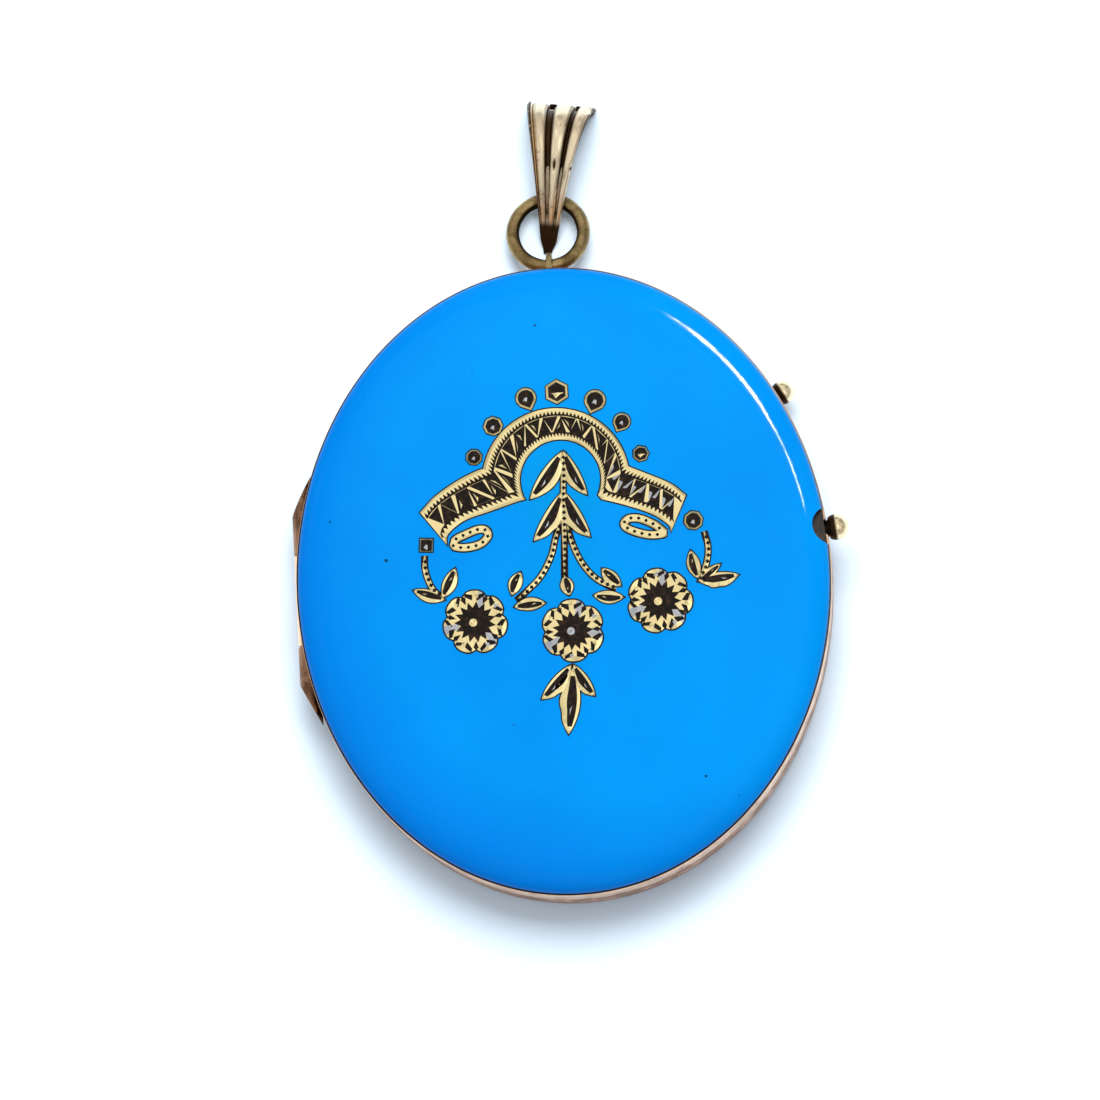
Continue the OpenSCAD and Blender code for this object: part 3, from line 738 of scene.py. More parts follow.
def knob_centre(knob):
    """The middle of a knob's ball and the outward direction there."""
    turn = math.radians(knob[0])
    spot = oval_point(0, turn)
    way = (oval_point(1, turn) - spot).normalized()
    way = Vector((way.x, way.y, 0))
    return Vector((spot.x, spot.y, knob[1])) + way * KNOB_REACH, way


print("hinge line at x", round(HINGE_X, 2), "and front knob at", knob_centre(FRONT_KNOB)[0])

# %% [markdown]
# ## The back half
# The back is a shallow pan stamped from gold sheet: a flat back, a rounded edge and a low wall.
# It is lofted from its wall profile. The hinge channels are then cut with bars,
# as a jeweller files them with a round file before soldering the knuckles in.

# %% Back pan
def quarter(centre, radius, start, end, steps=10):
    """Points of an arc in a profile, angles in degrees."""
    return [
        (centre[0] + radius * math.cos(math.radians(start + (end - start) * k / steps)),
         centre[1] + radius * math.sin(math.radians(start + (end - start) * k / steps)))
        for k in range(steps + 1)
    ]


EDGE = 1.15
WALL = 0.5
FLOOR_INNER = -2.2
GROOVE_Z = 2.41
GROOVE_DEPTH = 0.045


def dirty_parting(piece):
    """Marks the lips of the two halves as hollows, where old polish and dirt collect."""
    for i, (x, y, z) in enumerate(piece.points):
        piece.hollow[i] = 1.0 if abs(z - PARTING) < 0.05 else 0.0


def make_back_shell():
    """The back pan: flat, then a rounded edge and a wall with one fine groove."""
    profile = [(FLOOR_INNER, 0.0)] + quarter((-EDGE, EDGE), EDGE, -90, 0)
    profile += round_corners([
        (0, EDGE + 0.1), (0, GROOVE_Z - 0.05), (-GROOVE_DEPTH, GROOVE_Z - 0.02),
        (-GROOVE_DEPTH, GROOVE_Z + 0.02), (0, GROOVE_Z + 0.05), (0, PARTING - 0.1), (0, PARTING),
        (-WALL, PARTING), (-WALL, 1.4),
    ], 0.05)[1:]
    profile += quarter((-EDGE, EDGE), EDGE - WALL, 0, -90, 6) + [(FLOOR_INNER, WALL)]
    piece = Piece("back_shell_gold", PAN_GOLD)
    loft(piece, profile)
    dirty_parting(piece)
    made = cut_away(piece.solid(), channel_cutters(CHANNEL, KNUCKLE))
    return settle(made, "root", ["back_shell"])


make_back_shell()

# %% [markdown]
# ## Liner, frames, crystals and cards
# A liner stands inside the back wall and carries the snap lip that grips the cover.
# A thin bezel holds each crystal, with the card behind it. All of them are lofts of small
# profiles with broken edges, so light runs along them.

# %% Liner with its snap lip
LINER = -1.05
LINER_FOOT = 1.35


def make_snap_rim():
    """The liner: a ring inside the back wall whose thin upper lip has a rounded catch."""
    lip, top = -0.56, PARTING + 0.5
    profile = round_corners([
        (LINER, LINER_FOOT), (-WALL, LINER_FOOT), (-WALL, PARTING - 0.02), (lip, PARTING),
        (lip, PARTING + 0.2), (lip + 0.025, PARTING + 0.28), (lip, PARTING + 0.36),
        (lip - 0.06, top), (lip - 0.3, top), (lip - 0.3, PARTING), (LINER, PARTING),
    ], 0.04, 3, closed=True)
    piece = Piece("back_snap_rim_gold", CASE_GOLD)
    loft(piece, profile, closed=True)
    x0, x1, y1 = -HALF_WIDTH - 1, -HALF_WIDTH + 3, HINGE_HALF + 0.2
    gap = block("gap", [(x0, -y1), (x1, -y1), (x1, y1), (x0, y1)], PARTING, PARTING + 1)
    made = cut_away(piece.solid(), channel_cutters(CHANNEL, KNUCKLE) + [gap])
    return settle(made, "root", ["back_snap_rim"])


make_snap_rim()

# %% Picture frames
FRAME_INNER = -2.1
FRAME_OUTER = -1.35


def make_frames():
    """The two bezels: shallow rings with a raised bead round the picture."""
    top = PARTING - 0.3
    back = round_corners([
        (FRAME_OUTER, 1.3), (LINER, 1.3), (LINER, top - 0.08), (LINER - 0.08, top), (-1.45, top - 0.04),
        (-1.55, top - 0.04), (-1.9, top), (FRAME_INNER, top - 0.15), (FRAME_INNER, top - 0.3),
        (FRAME_OUTER, top - 0.3),
    ], 0.05, 3, closed=True)
    piece = Piece("back_frame_gold", POLISHED_GOLD)
    loft(piece, back, closed=True)
    settle(piece.solid(), "root", ["back_frame"])
    low, step, wall = PARTING + 0.15, PARTING + CHANNEL + 0.07, -WALL - 0.01
    front = round_corners([
        (FRAME_INNER, low + 0.15), (-1.9, low), (-1.55, low + 0.04), (-1.45, low + 0.04),
        (LINER - 0.08, low), (LINER, low + 0.08), (LINER, step), (wall, step), (wall, UNDER_PLATE),
        (FRAME_OUTER, UNDER_PLATE), (FRAME_OUTER, low + 0.3), (FRAME_INNER, low + 0.3),
    ], 0.05, 3, closed=True)
    piece = Piece("front_frame_gold", POLISHED_GOLD)
    loft(piece, front, closed=True)
    settle(piece.solid(), "cover", ["front_frame"])


make_frames()

# %% Crystals and cards
CRYSTAL_EDGE = -1.4
PACKING_EDGE = -1.2


def make_sheet(name, material, node, body, edge, bevel):
    """A flat oval sheet between the heights of its CAD node, with a broken edge."""
    low, high = (corner.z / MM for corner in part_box(node))
    profile = round_corners([(edge - 0.5, low), (edge, low), (edge, high), (edge - 0.5, high)], bevel, 3)
    piece = Piece(name, material)
    loft(piece, profile)
    return settle(piece.solid(), body, [node])


make_sheet("back_crystal_glass", CRYSTAL, "back_crystal", "root", CRYSTAL_EDGE, 0.04)
make_sheet("front_crystal_glass", CRYSTAL, "front_crystal", "cover", CRYSTAL_EDGE, 0.04)
make_sheet("back_picture_paper", CARD, "back_picture_card", "root", CRYSTAL_EDGE, 0.02)
make_sheet("back_packing_paper", CARD, "back_packing_card", "root", PACKING_EDGE, 0.02)
make_sheet("front_picture_paper", CARD, "front_picture_card", "cover", CRYSTAL_EDGE, 0.02)

# %% [markdown]
# ## The hinge
# A straight hinge this small is three knuckles of gold tube on one bronze pin.
# The two outer ones belong to the back and the middle one to the cover. The ends are filed
# down to follow the case.

# %% Outer knuckles
def filed_end(side):
    """The block that files one end of the hinge down to the case, at a slant."""
    turn = math.radians(HINGE_END_ANGLE)
    base = Vector((HINGE_X - KNUCKLE, side * HINGE_FLAT_HALF))
    way = Vector((math.sin(turn), side * math.cos(turn)))
    out = Vector((-math.cos(turn), side * math.sin(turn)))
    plan = [base - way * 0.2, base + way * 8, base + way * 8 + out * 4, base - way * 0.2 + out * 4]
    return block("wedge", plan, PARTING - 2, PARTING + 2)


def make_outer_knuckles():
    """Two tubes, darker towards the filed ends, with painted shade where they meet the case."""
    piece = Piece("hinge_knuckles_back", KNUCKLE_GOLD)
    inner, bore = MIDDLE_HALF + 0.06, 0.26
    profile = [(inner, bore), (inner, KNUCKLE - 0.04), (inner + 0.04, KNUCKLE)]
    profile += [(y, KNUCKLE) for y in (3.6, 4.2, 4.8, 5.4, 6.0, 6.5, HINGE_HALF)] + [(HINGE_HALF, bore)]
    for side in (-1, 1):
        lathe(piece, (HINGE_X, 0, PARTING), (0, side, 0), profile)
    for i, (x, y, z) in enumerate(piece.points):
        # Painted shade along the line where the knuckles meet the case.
        toward_case = soft_step(x - HINGE_X, 0.0, 0.3) * soft_step(z - PARTING, -0.2, 0.3)
        piece.hollow[i] = max(0.9 * soft_step(abs(y), 4.9, 6.0), toward_case)
    made = cut_away(piece.solid(), [filed_end(-1), filed_end(1)])
    return settle(made, "root", ["back_hinge_knuckles"])


make_outer_knuckles()

# %% Middle knuckle and pin
def make_middle_knuckle():
    half, bore, chamfer = MIDDLE_HALF, 0.3, 0.04
    profile = [(-half, bore), (-half, KNUCKLE - chamfer), (-half + chamfer, KNUCKLE)]
    profile += [(along * -1, radius) for along, radius in reversed(profile)]
    piece = Piece("hinge_knuckle_cover", CASE_GOLD)
    lathe(piece, (HINGE_X, 0, PARTING), (0, 1, 0), profile)
    return settle(piece.solid(), "cover", ["front_hinge_knuckle"])


def make_pin():
    low, high = (corner.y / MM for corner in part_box("hinge_pin"))
    radius, chamfer = 0.25, 0.05
    profile = [(low, 0.0), (low, radius - chamfer), (low + chamfer, radius)]
    profile += [(high - chamfer, radius), (high, radius - chamfer), (high, 0.0)]
    piece = Piece("hinge_pin_bronze", BRONZE_GOLD)
    lathe(piece, (HINGE_X, 0, PARTING), (0, 1, 0), profile)
    return settle(piece.solid(), "root", ["hinge_pin"])


make_middle_knuckle()
make_pin()

# %% [markdown]
# ## Cover shell and enamel
# The cover is a gold tray. A thin gold line stands up round its edge and the enamel is fused
# inside it, higher than the line, with a soft rounded shoulder where the glass drew back
# in the kiln. A dark seam stays between gold and glass.

# %% Cover shell
RIM_LINE = 0.13


def make_front_shell():
    """The gold tray: a wall, the plate under the enamel and the thin line round it."""
    profile = [(-2.0, UNDER_PLATE)] + round_corners([
        (-WALL, UNDER_PLATE), (-WALL, PARTING), (0, PARTING), (0, PARTING + 0.1), (0, RIM_TOP),
        (-RIM_LINE, RIM_TOP), (-RIM_LINE, PLATE_TOP), (-0.4, PLATE_TOP),
    ], 0.045) + [(-2.0, PLATE_TOP)]
    piece = Piece("front_shell_gold", CASE_GOLD)
    loft(piece, profile)
    dirty_parting(piece)
    centre, way = knob_centre(FRONT_KNOB)
    cutters = channel_cutters(KNUCKLE, CHANNEL)
    cutters.append(ball("relief", centre + Vector((0, 0, 0.22)), FRONT_KNOB[2] + 0.1))
    return settle(cut_away(piece.solid(), cutters), "cover", ["front_shell"])


make_front_shell()

# %% Enamel face
ENAMEL_EDGE = -0.10
SHOULDER = 1.9
SHOULDER_STEPS = 28
CUP_RADIUS = 1.0


def thumb_cup():
    """A round bar that hollows the enamel beside the front knob and leaves black faces there, for the notch's
    dark metal and painted shade from the knob.
    """
    centre, way = knob_centre(FRONT_KNOB)
    middle = centre - way * 0.2
    foot = (middle.x, middle.y, RIM_TOP - 0.03)
    cup = rod("relief", foot, (middle.x, middle.y, FACE + 1), CUP_RADIUS)
    cup.data.materials.append(ENAMEL)
    cup.data.materials.append(BLACK)
    # The cup's black faces are partly painted shade: the knob's shadow in the notch.
    cup.data.polygons.foreach_set("material_index", [1] * len(cup.data.polygons))
    return cup


def make_enamel():
    """The glass: a dark foot in the tray, then a quarter-oval shoulder up to the flat face."""
    spring = RIM_TOP + 0.09
    rise = FACE - spring
    foot = [
        (-2.0, PLATE_TOP + 0.01), (-RIM_LINE - 0.01, PLATE_TOP + 0.01), (-RIM_LINE - 0.005, RIM_TOP),
        (-0.02, RIM_TOP + 0.002), (-0.02, RIM_TOP + 0.02), (ENAMEL_EDGE - 0.01, RIM_TOP + 0.045),
    ]
    glass = [(ENAMEL_EDGE, RIM_TOP + 0.05)]
    for k in range(SHOULDER_STEPS + 1):
        a = math.radians(90 * k / SHOULDER_STEPS)
        glass.append((ENAMEL_EDGE - SHOULDER * (1 - math.cos(a)), spring + rise * math.sin(a)))
    glass.append((ENAMEL_EDGE - SHOULDER - 0.3, FACE))
    piece = Piece("front_enamel_glass", ENAMEL, BLACK)
    lower = loft(piece, foot, material=1, caps=(True, False))
    upper = loft(piece, glass, caps=(False, True))
    piece.join([lower[-1], upper[0]], 1)
    return settle(cut_away(piece.solid(), [thumb_cup()]), "cover", ["front_enamel"])


make_enamel()

# %% [markdown]
# ## Thumb knobs
# Two small gold balls stand on the edge, one on each half and a little apart, so that
# two fingernails can part the halves. Each is a turned ball on a collar.

# %% Knobs
def make_knob(name, node, body, knob):
    """A peg into the wall, a collar and a ball whose inner half, next to the case, carries painted shade."""
    centre, way = knob_centre(knob)
    radius = knob[2]
    steps = 24
    foot = -KNOB_REACH
    profile = [(foot - 0.4, 0.0), (foot - 0.4, 0.2), (foot - 0.02, 0.2), (foot, 0.42), (foot + 0.06, 0.44)]
    start = math.acos((KNOB_REACH - 0.08) / radius)
    angles = [start + (math.pi - start) * k / steps for k in range(steps)]
    profile += [(-radius * math.cos(a), radius * math.sin(a)) for a in angles] + [(radius, 0.0)]
    piece = Piece(name, POLISHED_GOLD)
    lathe(piece, centre, way, profile)
    # Painted shade: the ball's half towards the case is marked dark, and its outer half stays bright.
    for i, spot in enumerate(piece.points):
        along = (Vector(spot) - centre).dot(way)
        piece.hollow[i] = 1 - soft_step(along, -0.12, 0.12)
    return settle(piece.solid(), body, [node], 40)


make_knob("front_thumb_ball", "front_thumb_knob", "cover", FRONT_KNOB)
make_knob("back_thumb_ball", "back_thumb_knob", "root", BACK_KNOB)

# %% [markdown]
# ## Eye, jump ring and bail
# The eye is a small half ring soldered to the back's wall. The jump ring passes through it
# and carries the bail. The bail is one strip of fluted gold bent round into a teardrop loop,
# wide where the chain runs and narrow at the ring.

# %% Wire rings
RING_Y, RING_Z, RING_TILT = 18.977, 1.109, math.radians(-9.0)
RING_RADIUS, RING_WIRE = 1.86, 0.34
EYE_RADIUS, EYE_WIRE, EYE_HEIGHT = 0.56, 0.16, 1.4


def tube_ring(piece, centre, radius, wire, tilt, steps=128, around=40, wobble=0.0, upright=False):
    """A round wire ring, darker on its inner side; upright stands it in the YZ plane."""
    rings = []
    for i in range(steps):
        a = 2 * math.pi * i / steps
        local = wire * (1 + wobble * math.sin(3 * a + 1) * math.sin(5 * a))
        ring = []
        for k in range(around):
            b = 2 * math.pi * k / around
            reach, lift = radius + local * math.cos(b), local * math.sin(b)
            if upright:
                spot = Vector((lift, reach * math.cos(a), reach * math.sin(a)))
            else:
                spot = Vector((reach * math.cos(a), reach * math.sin(a), lift))
                spot.rotate(Matrix.Rotation(tilt, 3, "X"))
            spot += Vector(centre)
            ring.append(piece.point(*spot, 1.1 * soft_step(-math.cos(b), 0.35, 0.9)))
        rings.append(ring)
    piece.join(rings, looped=True)


print("jump ring", round(2 * (RING_RADIUS + RING_WIRE), 2), "mm across")

# %% Eye
def make_eye():
    """The upright ring, cut off at the wall, and the soldered foot it stands on."""
    centre_y = HALF_LENGTH + 0.4 + RING_WIRE
    piece = Piece("bail_eye_gold", BRONZE_GOLD)
    tube_ring(piece, (0, centre_y, EYE_HEIGHT), EYE_RADIUS, EYE_WIRE, 0.0, steps=64, around=24, upright=True)
    made = piece.solid()
    inside, wall = HALF_LENGTH - 3, HALF_LENGTH
    cut_away(made, [block("back", [(-2, inside), (2, inside), (2, wall), (-2, wall)], -1, 4)])
    profile = [(-0.25, 0.0), (-0.25, 0.45), (0.05, 0.45), (0.2, 0.34), (0.34, 0.3), (0.34, 0.0)]
    foot = Piece("foot", BRONZE_GOLD)
    lathe(foot, (0, HALF_LENGTH, EYE_HEIGHT), (0, 1, 0), profile)
    foot = foot.solid()
    work = bmesh.new()
    work.from_mesh(made.data)
    work.from_mesh(foot.data)
    work.to_mesh(made.data)
    work.free()
    bpy.data.objects.remove(foot)
    return settle(made, "root", ["bail_eye"])


make_eye()

# %% Jump ring
def make_jump_ring():
    piece = Piece("jump_ring_bronze", BRONZE_GOLD)
    tube_ring(piece, (0, RING_Y, RING_Z), RING_RADIUS, RING_WIRE, RING_TILT, wobble=0.03)
    return settle(piece.solid(), "ring", ["jump_ring"], 60)


make_jump_ring()

# %% Lines of the bail
BAIL_TIP, BAIL_LENGTH, BAIL_DEPTH = 18.06, 8.0, 3.05
BAIL_WIDE, BAIL_NARROW, BAIL_SHEET = 3.6, 0.7, 0.35
BAIL_LEAN = math.radians(-8.8)
BAIL_LIFT = 0.05
LOOP_START = 1.65
FLUTE_DEPTH = 0.38
# Pits in the bail's face: place across, place along, two half widths and a depth.
PITS = [(0.1, 22.3, 0.10, 0.30, 0.12), (0.97, 22.1, 0.09, 0.14, 0.08), (0.1, 23.6, 0.06, 0.07, 0.04)]
# Ribs of the fluting: middle and half width, as shares of the bail's width.
RIBS = [(-0.465, 0.03), (-0.295, 0.09), (0.065, 0.115), (0.40, 0.10)]


def bail_outer(t):
    """The loop's outer line at an angle in degrees: distance along and rise."""
    a = math.radians(t)
    rise = BAIL_DEPTH / 0.7 * abs(math.sin(a)) * abs(math.sin(a / 2)) ** 1.5
    return Vector((BAIL_TIP + BAIL_LENGTH * (1 - math.cos(a)) / 2, rise if t < 180 else 0.0))


def bail_inner(t):
    """The loop's inner line, which starts further from the tip."""
    a = math.radians(t)
    rise = 2.4 * abs(math.sin(a)) * abs(math.sin(a / 2)) ** 0.5
    along = BAIL_TIP + LOOP_START + (BAIL_LENGTH - LOOP_START - BAIL_SHEET) * (1 - math.cos(a)) / 2
    return Vector((along, rise if t < 180 else 0.0))


def bail_width(along):
    """The strip's width at a distance along: narrow at the ring and wide at the chain."""
    share = min(1.0, max(0.0, (along - BAIL_TIP) / BAIL_LENGTH))
    return BAIL_NARROW + (BAIL_WIDE - BAIL_NARROW) * share ** 1.15


def rib_cut(u):
    """Depth of the fluting across the width, 0 on a rib's crest and 1 in a groove."""
    cuts = []
    for middle, half in RIBS:
        away = abs(u - middle)
        cuts.append(0.18 * min(1.0, away / half) ** 2 + 0.82 * soft_step(away, half, half + 0.045))
    return min(cuts)


print("bail widths at tip and top:", bail_width(BAIL_TIP), bail_width(BAIL_TIP + BAIL_LENGTH))

# %% Bail
def bail_section(t, across=60, inside=12):
    """Points (x, along, height, darkness) across the strip at an angle round the loop; the darkness is
    painted shade.
    """
    spot, inner = bail_outer(t), bail_inner(t)
    after, before = bail_outer(min(t + 1.5, 359.9)), bail_outer(max(t - 1.5, 0.1))
    way = (after - before).normalized()
    out = Vector((-way.y, way.x))
    front = t < 180
    wide = bail_width(spot.x) * (0.6 + 0.4 * soft_step(spot.x, BAIL_TIP, BAIL_TIP + 0.8))
    tuck = 0.38 * soft_step(t, 180, 235) * soft_step(spot.x, BAIL_TIP + 0.4, BAIL_TIP + 2.5)
    fluted = soft_step(spot.x, 18.9, 20.2) * (1.0 if front else 1 - soft_step(t, 180, 215))
    section = []
    for i in range(across + 1):
        u = i / across - 0.5
        x = wide * u - tuck * (u + 0.5)
        cut = FLUTE_DEPTH * fluted * rib_cut(u) + 0.05 * soft_step(abs(u), 0.46, 0.5)
        # Painted shade: dark in the grooves and pits, towards the tip where the bail meets the ring, on the
        # back and on the inside.
        dark = 0.95 * fluted * soft_step(rib_cut(u), 0.2, 0.6)
        dark = max(dark, 1.0 - soft_step(spot.x, 19.2, 19.9))
        for px, py, sx, sy, depth in PITS if front else []:
            near = math.exp(-((x - px) / sx) ** 2 - ((spot.x - py) / sy) ** 2)
            cut += depth * near
            dark = max(dark, 1.2 * near)
        # Painted shade over the whole back of the loop.
        dark = dark if front else max(dark, 0.3)
        section.append((x, spot.x - cut * out.x, max(0.04, spot.y + BAIL_LIFT - cut * out.y), dark))
    narrow = min(wide, bail_width(inner.x))
    for i in range(inside + 1):
        u = 0.5 - i / inside
        # Painted shade on the inside of the loop.
        section.append((narrow * u - tuck * (u + 0.5), inner.x, inner.y + BAIL_LIFT + BAIL_SHEET, 0.6))
    return section


def make_bail(steps=128):
    """The fluted strip, bent into a loop and turned a little round the ring's middle."""
    piece = Piece("bail_gold", FLUTED_GOLD)
    turn = Matrix.Rotation(BAIL_LEAN, 2)
    centre = Vector((0, RING_Y))
    rings = []
    for k in range(steps):
        ring = []
        for x, y, z, dark in bail_section(360 * (k + 0.5) / steps):
            plan = turn @ (Vector((x, y)) - centre) + centre
            ring.append(piece.point(plan.x, plan.y, z, dark))
        rings.append(ring)
    piece.join(rings, looped=True)
    return settle(piece.solid(), "bail", ["bail"], 50)


make_bail()

# %% [markdown]
# ## The ornament
# The ornament is bright-cut gold inlaid in the enamel: a ribbon arch, three flowers, leaf sprays
# and beads. Bright cutting leaves small sloping facets that flash, and the hollows between
# are filled with black. So each motif here has three levels: a dark plate a little wider
# than the gold, the gold with its facets, and dark cuts on top.

# %% Plan lines
SEAT_Z = FACE - 0.02
DARK_Z = FACE + 0.012
GOLD_Z = FACE + 0.055
SEAT_MARGIN = 0.07


def smooth_line(points, steps=6):
    """A smooth line through plan points."""
    points = [Vector(p) for p in points]
    padded = [2 * points[0] - points[1]] + points + [2 * points[-1] - points[-2]]
    line = []
    for a, b, c, d in zip(padded, padded[1:], padded[2:], padded[3:]):
        for k in range(steps):
            t = k / steps
            square, cube = 2 * a - 5 * b + 4 * c - d, 3 * b - a - 3 * c + d
            line.append(0.5 * (2 * b + (c - a) * t + square * t * t + cube * t ** 3))
    return line + [points[-1]]


def arc_line(centre, radius, start, end, steps=40):
    """Points of an arc in plan, angles in degrees."""
    angles = [math.radians(start + (end - start) * k / steps) for k in range(steps + 1)]
    return [Vector((centre[0] + radius * math.cos(a), centre[1] + radius * math.sin(a))) for a in angles]


def polygon(centre, radius, sides, turn=0.0):
    """A regular polygon in plan."""
    return arc_line(centre, radius, turn, turn + 360, sides)[:-1]


def counter_clockwise(outline):
    """The outline as Vectors, reversed if it runs clockwise."""
    outline = [Vector(p) for p in outline]
    area = sum(p.x * q.y - q.x * p.y for p, q in zip(outline, outline[1:] + outline[:1])) / 2
    return outline[::-1] if area < 0 else outline


def grow(outline, amount):
    """The outline moved outward by an amount along its corner normals."""
    outline = counter_clockwise(outline)
    grown = []
    for before, here, after in zip(outline[-1:] + outline[:-1], outline, outline[1:] + outline[:1]):
        a, b = (here - before), (after - here)
        if a.length < 1e-6 or b.length < 1e-6:
            continue
        a, b = a.normalized(), b.normalized()
        normal = Vector((a.y + b.y, -(a.x + b.x)))
        if normal.length < 0.3:
            normal = (a - b)
        normal.normalize()
        stretch = min(1.8, 1 / max(0.3, abs(normal.dot(Vector((a.y, -a.x))))))
        grown.append(here + normal * amount * stretch)
    return grown


def sideways(line, i):
    """The direction across a line at one of its points."""
    way = line[min(i + 1, len(line) - 1)] - line[max(i - 1, 0)]
    return Vector((-way.y, way.x)).normalized()


def strip_outline(line, width):
    """The outline of a strip of this width along a line."""
    left = [p + sideways(line, i) * width / 2 for i, p in enumerate(line)]
    right = [p - sideways(line, i) * width / 2 for i, p in enumerate(line)]
    return left + right[::-1]


print("gold stands", round(GOLD_Z - FACE, 3), "mm above the glass and its dark seat", round(DARK_Z - FACE, 3))

# %% Plates, studs and ridges
ORNAMENT = [CUT_GOLD, BLACK, CUT_SILVER]
GOLD, DARK, GREY = 0, 1, 2


def slab(piece, outline, low, high, material, inset=0.015):
    """A thin flat-topped plate with a broken edge."""
    outline = counter_clockwise(outline)
    top = grow(outline, -inset)
    if len(top) != len(outline):
        top = outline
    bottom = [piece.point(p.x, p.y, low) for p in outline]
    upper = [piece.point(p.x, p.y, high) for p in top]
    piece.join([bottom, upper], material)
    piece.face(reversed(bottom), material)
    piece.face(upper, material)


def seat(piece, outline):
    """The dark plate under a motif, a little wider than its gold."""
    slab(piece, grow(outline, SEAT_MARGIN), SEAT_Z, DARK_Z, DARK)


def facets(piece, outline, low, high, material, peak=None):
    """A faceted stone-like stud: sloping faces that meet in one point."""
    outline = [Vector(p) for p in outline]
    middle = Vector(peak) if peak else sum(outline, Vector((0, 0))) / len(outline)
    bottom = [piece.point(p.x, p.y, low) for p in outline]
    edge = [piece.point(p.x, p.y, low + 0.3 * (high - low)) for p in outline]
    apex = piece.point(middle.x, middle.y, high)
    for i in range(len(outline)):
        j = (i + 1) % len(outline)
        piece.face((bottom[i], bottom[j], edge[j], edge[i]), material)
        piece.face((edge[i], edge[j], apex), material)
    piece.face(reversed(bottom), material)


def ridge(piece, line, width, low, high, material):
    """A line of gold with two sloping sides that meet in a ridge, narrower at its ends."""
    rings = []
    count = len(line)
    flank = low + 0.35 * (high - low)
    for i, spot in enumerate(line):
        reach = sideways(line, i) * 0.5 * width * min(1.0, 0.25 + 3.0 * min(i, count - 1 - i) / count)
        ring = [(spot - reach, low), (spot - reach * 0.92, flank), (spot, high),
                (spot + reach * 0.92, flank), (spot + reach, low)]
        rings.append([piece.point(p.x, p.y, z) for p, z in ring])
    piece.join(rings, material)
    piece.face(reversed(rings[0]), material)
    piece.face(rings[-1], material)


def punch_row(piece, line, size, gap, low, high):
    """A row of small dark punch marks along a line."""
    travelled, wanted = 0.0, gap
    for a, b in zip(line, line[1:]):
        step = (b - a).length
        while travelled + step >= wanted:
            spot = a + (b - a) * ((wanted - travelled) / step)
            turn = math.degrees(math.atan2(b.y - a.y, b.x - a.x))
            facets(piece, polygon(spot, size, 4, turn), low, high, DARK)
            wanted += gap
        travelled += step


print("ornament metals:", [material.name for material in ORNAMENT])

# %% Leaves and stems
STEM_WIDTH = 0.25


def leaf_point(base, tip, width, bow, t, s):
    """A point of a pointed leaf: t runs from base to tip and s across it from -1 to 1."""
    base, tip = Vector(base), Vector(tip)
    along = tip - base
    side = Vector((-along.y, along.x)).normalized()
    swell = math.sin(math.pi * t)
    return base + along * t + side * (bow * swell + s * width / 2 * max(0.0, swell) ** 0.85)


def leaf_gold(piece, edge, bright, steps):
    """The gold of a leaf: a low crown from base to tip, with its brighter side raised."""
    base, tip = edge(0.01, 0), edge(0.99, 0)
    crown = (
        (-0.98, DARK_Z - 0.004), (-0.98, DARK_Z + 0.012), (-0.3, GOLD_Z + 0.015),
        (0.3, GOLD_Z + 0.01), (0.98, DARK_Z + 0.012), (0.98, DARK_Z - 0.004),
    )
    rows = [[piece.point(*edge(k / steps, s * bright), z) for k in range(1, steps)] for s, z in crown]
    piece.join(rows, GOLD, around=False, looped=True)
    for spot, k in ((base, 0), (tip, -1)):
        point = piece.point(spot.x, spot.y, DARK_Z)
        for a, b in zip(rows, rows[1:] + rows[:1]):
            piece.face((point, a[k], b[k]), GOLD)


def leaf(piece, base, tip, width, bow=0.0, bright=1, lobes=0, steps=16):
    """A gold leaf with a long black hollow off its middle, and little lobes on its bright side."""

    def edge(t, s):
        if lobes and s * bright < 0:
            s *= 1 + 0.22 * abs(math.sin(math.pi * lobes * t)) * (t > 0.3) - 0.1
        return leaf_point(base, tip, width, bow, t, s)

    outline = [edge(k / steps, -1) for k in range(steps + 1)]
    outline += [edge(k / steps, 1) for k in range(steps - 1, 0, -1)]
    seat(piece, outline)
    leaf_gold(piece, edge, bright, steps)
    low, high = -0.34 * bright, 0.66 * bright
    shares = [0.12 + 0.76 * k / 10 for k in range(11)]
    hollow = grow([edge(t, low) for t in shares] + [edge(t, high) for t in shares[::-1]], 0.0)
    tops = [piece.point(p.x, p.y, GOLD_Z + 0.022) for p in hollow]
    feet = [piece.point(p.x, p.y, GOLD_Z - 0.03) for p in hollow]
    piece.join([feet, tops], DARK)
    piece.face(tops, DARK)
    piece.face(reversed(feet), DARK)
    chip = [edge(0.62, low * 0.4), edge(0.78, low * 0.1), edge(0.5, high * 0.5)]
    facets(piece, chip, GOLD_Z, GOLD_Z + 0.035, GREY if width > 0.7 else GOLD)


def stem(piece, points):
    """A stem: a gold ridge on a dark line, notched by a row of dark punch marks."""
    line = smooth_line(points)
    slab(piece, strip_outline(line, STEM_WIDTH + 0.13), SEAT_Z, DARK_Z, DARK, 0.0)
    ridge(piece, line, STEM_WIDTH, DARK_Z - 0.004, GOLD_Z, GOLD)
    shifted = [p + sideways(line, i) * 0.03 for i, p in enumerate(line)]
    punch_row(piece, shifted, 0.12, 0.32, GOLD_Z - 0.02, GOLD_Z + 0.05)


def finish_motif(piece, node):
    """Every motif rides on the cover and stands for one engraved CAD node."""
    return settle(piece.solid(), "cover", [node], 12)


print("a stem is", STEM_WIDTH, "mm wide")

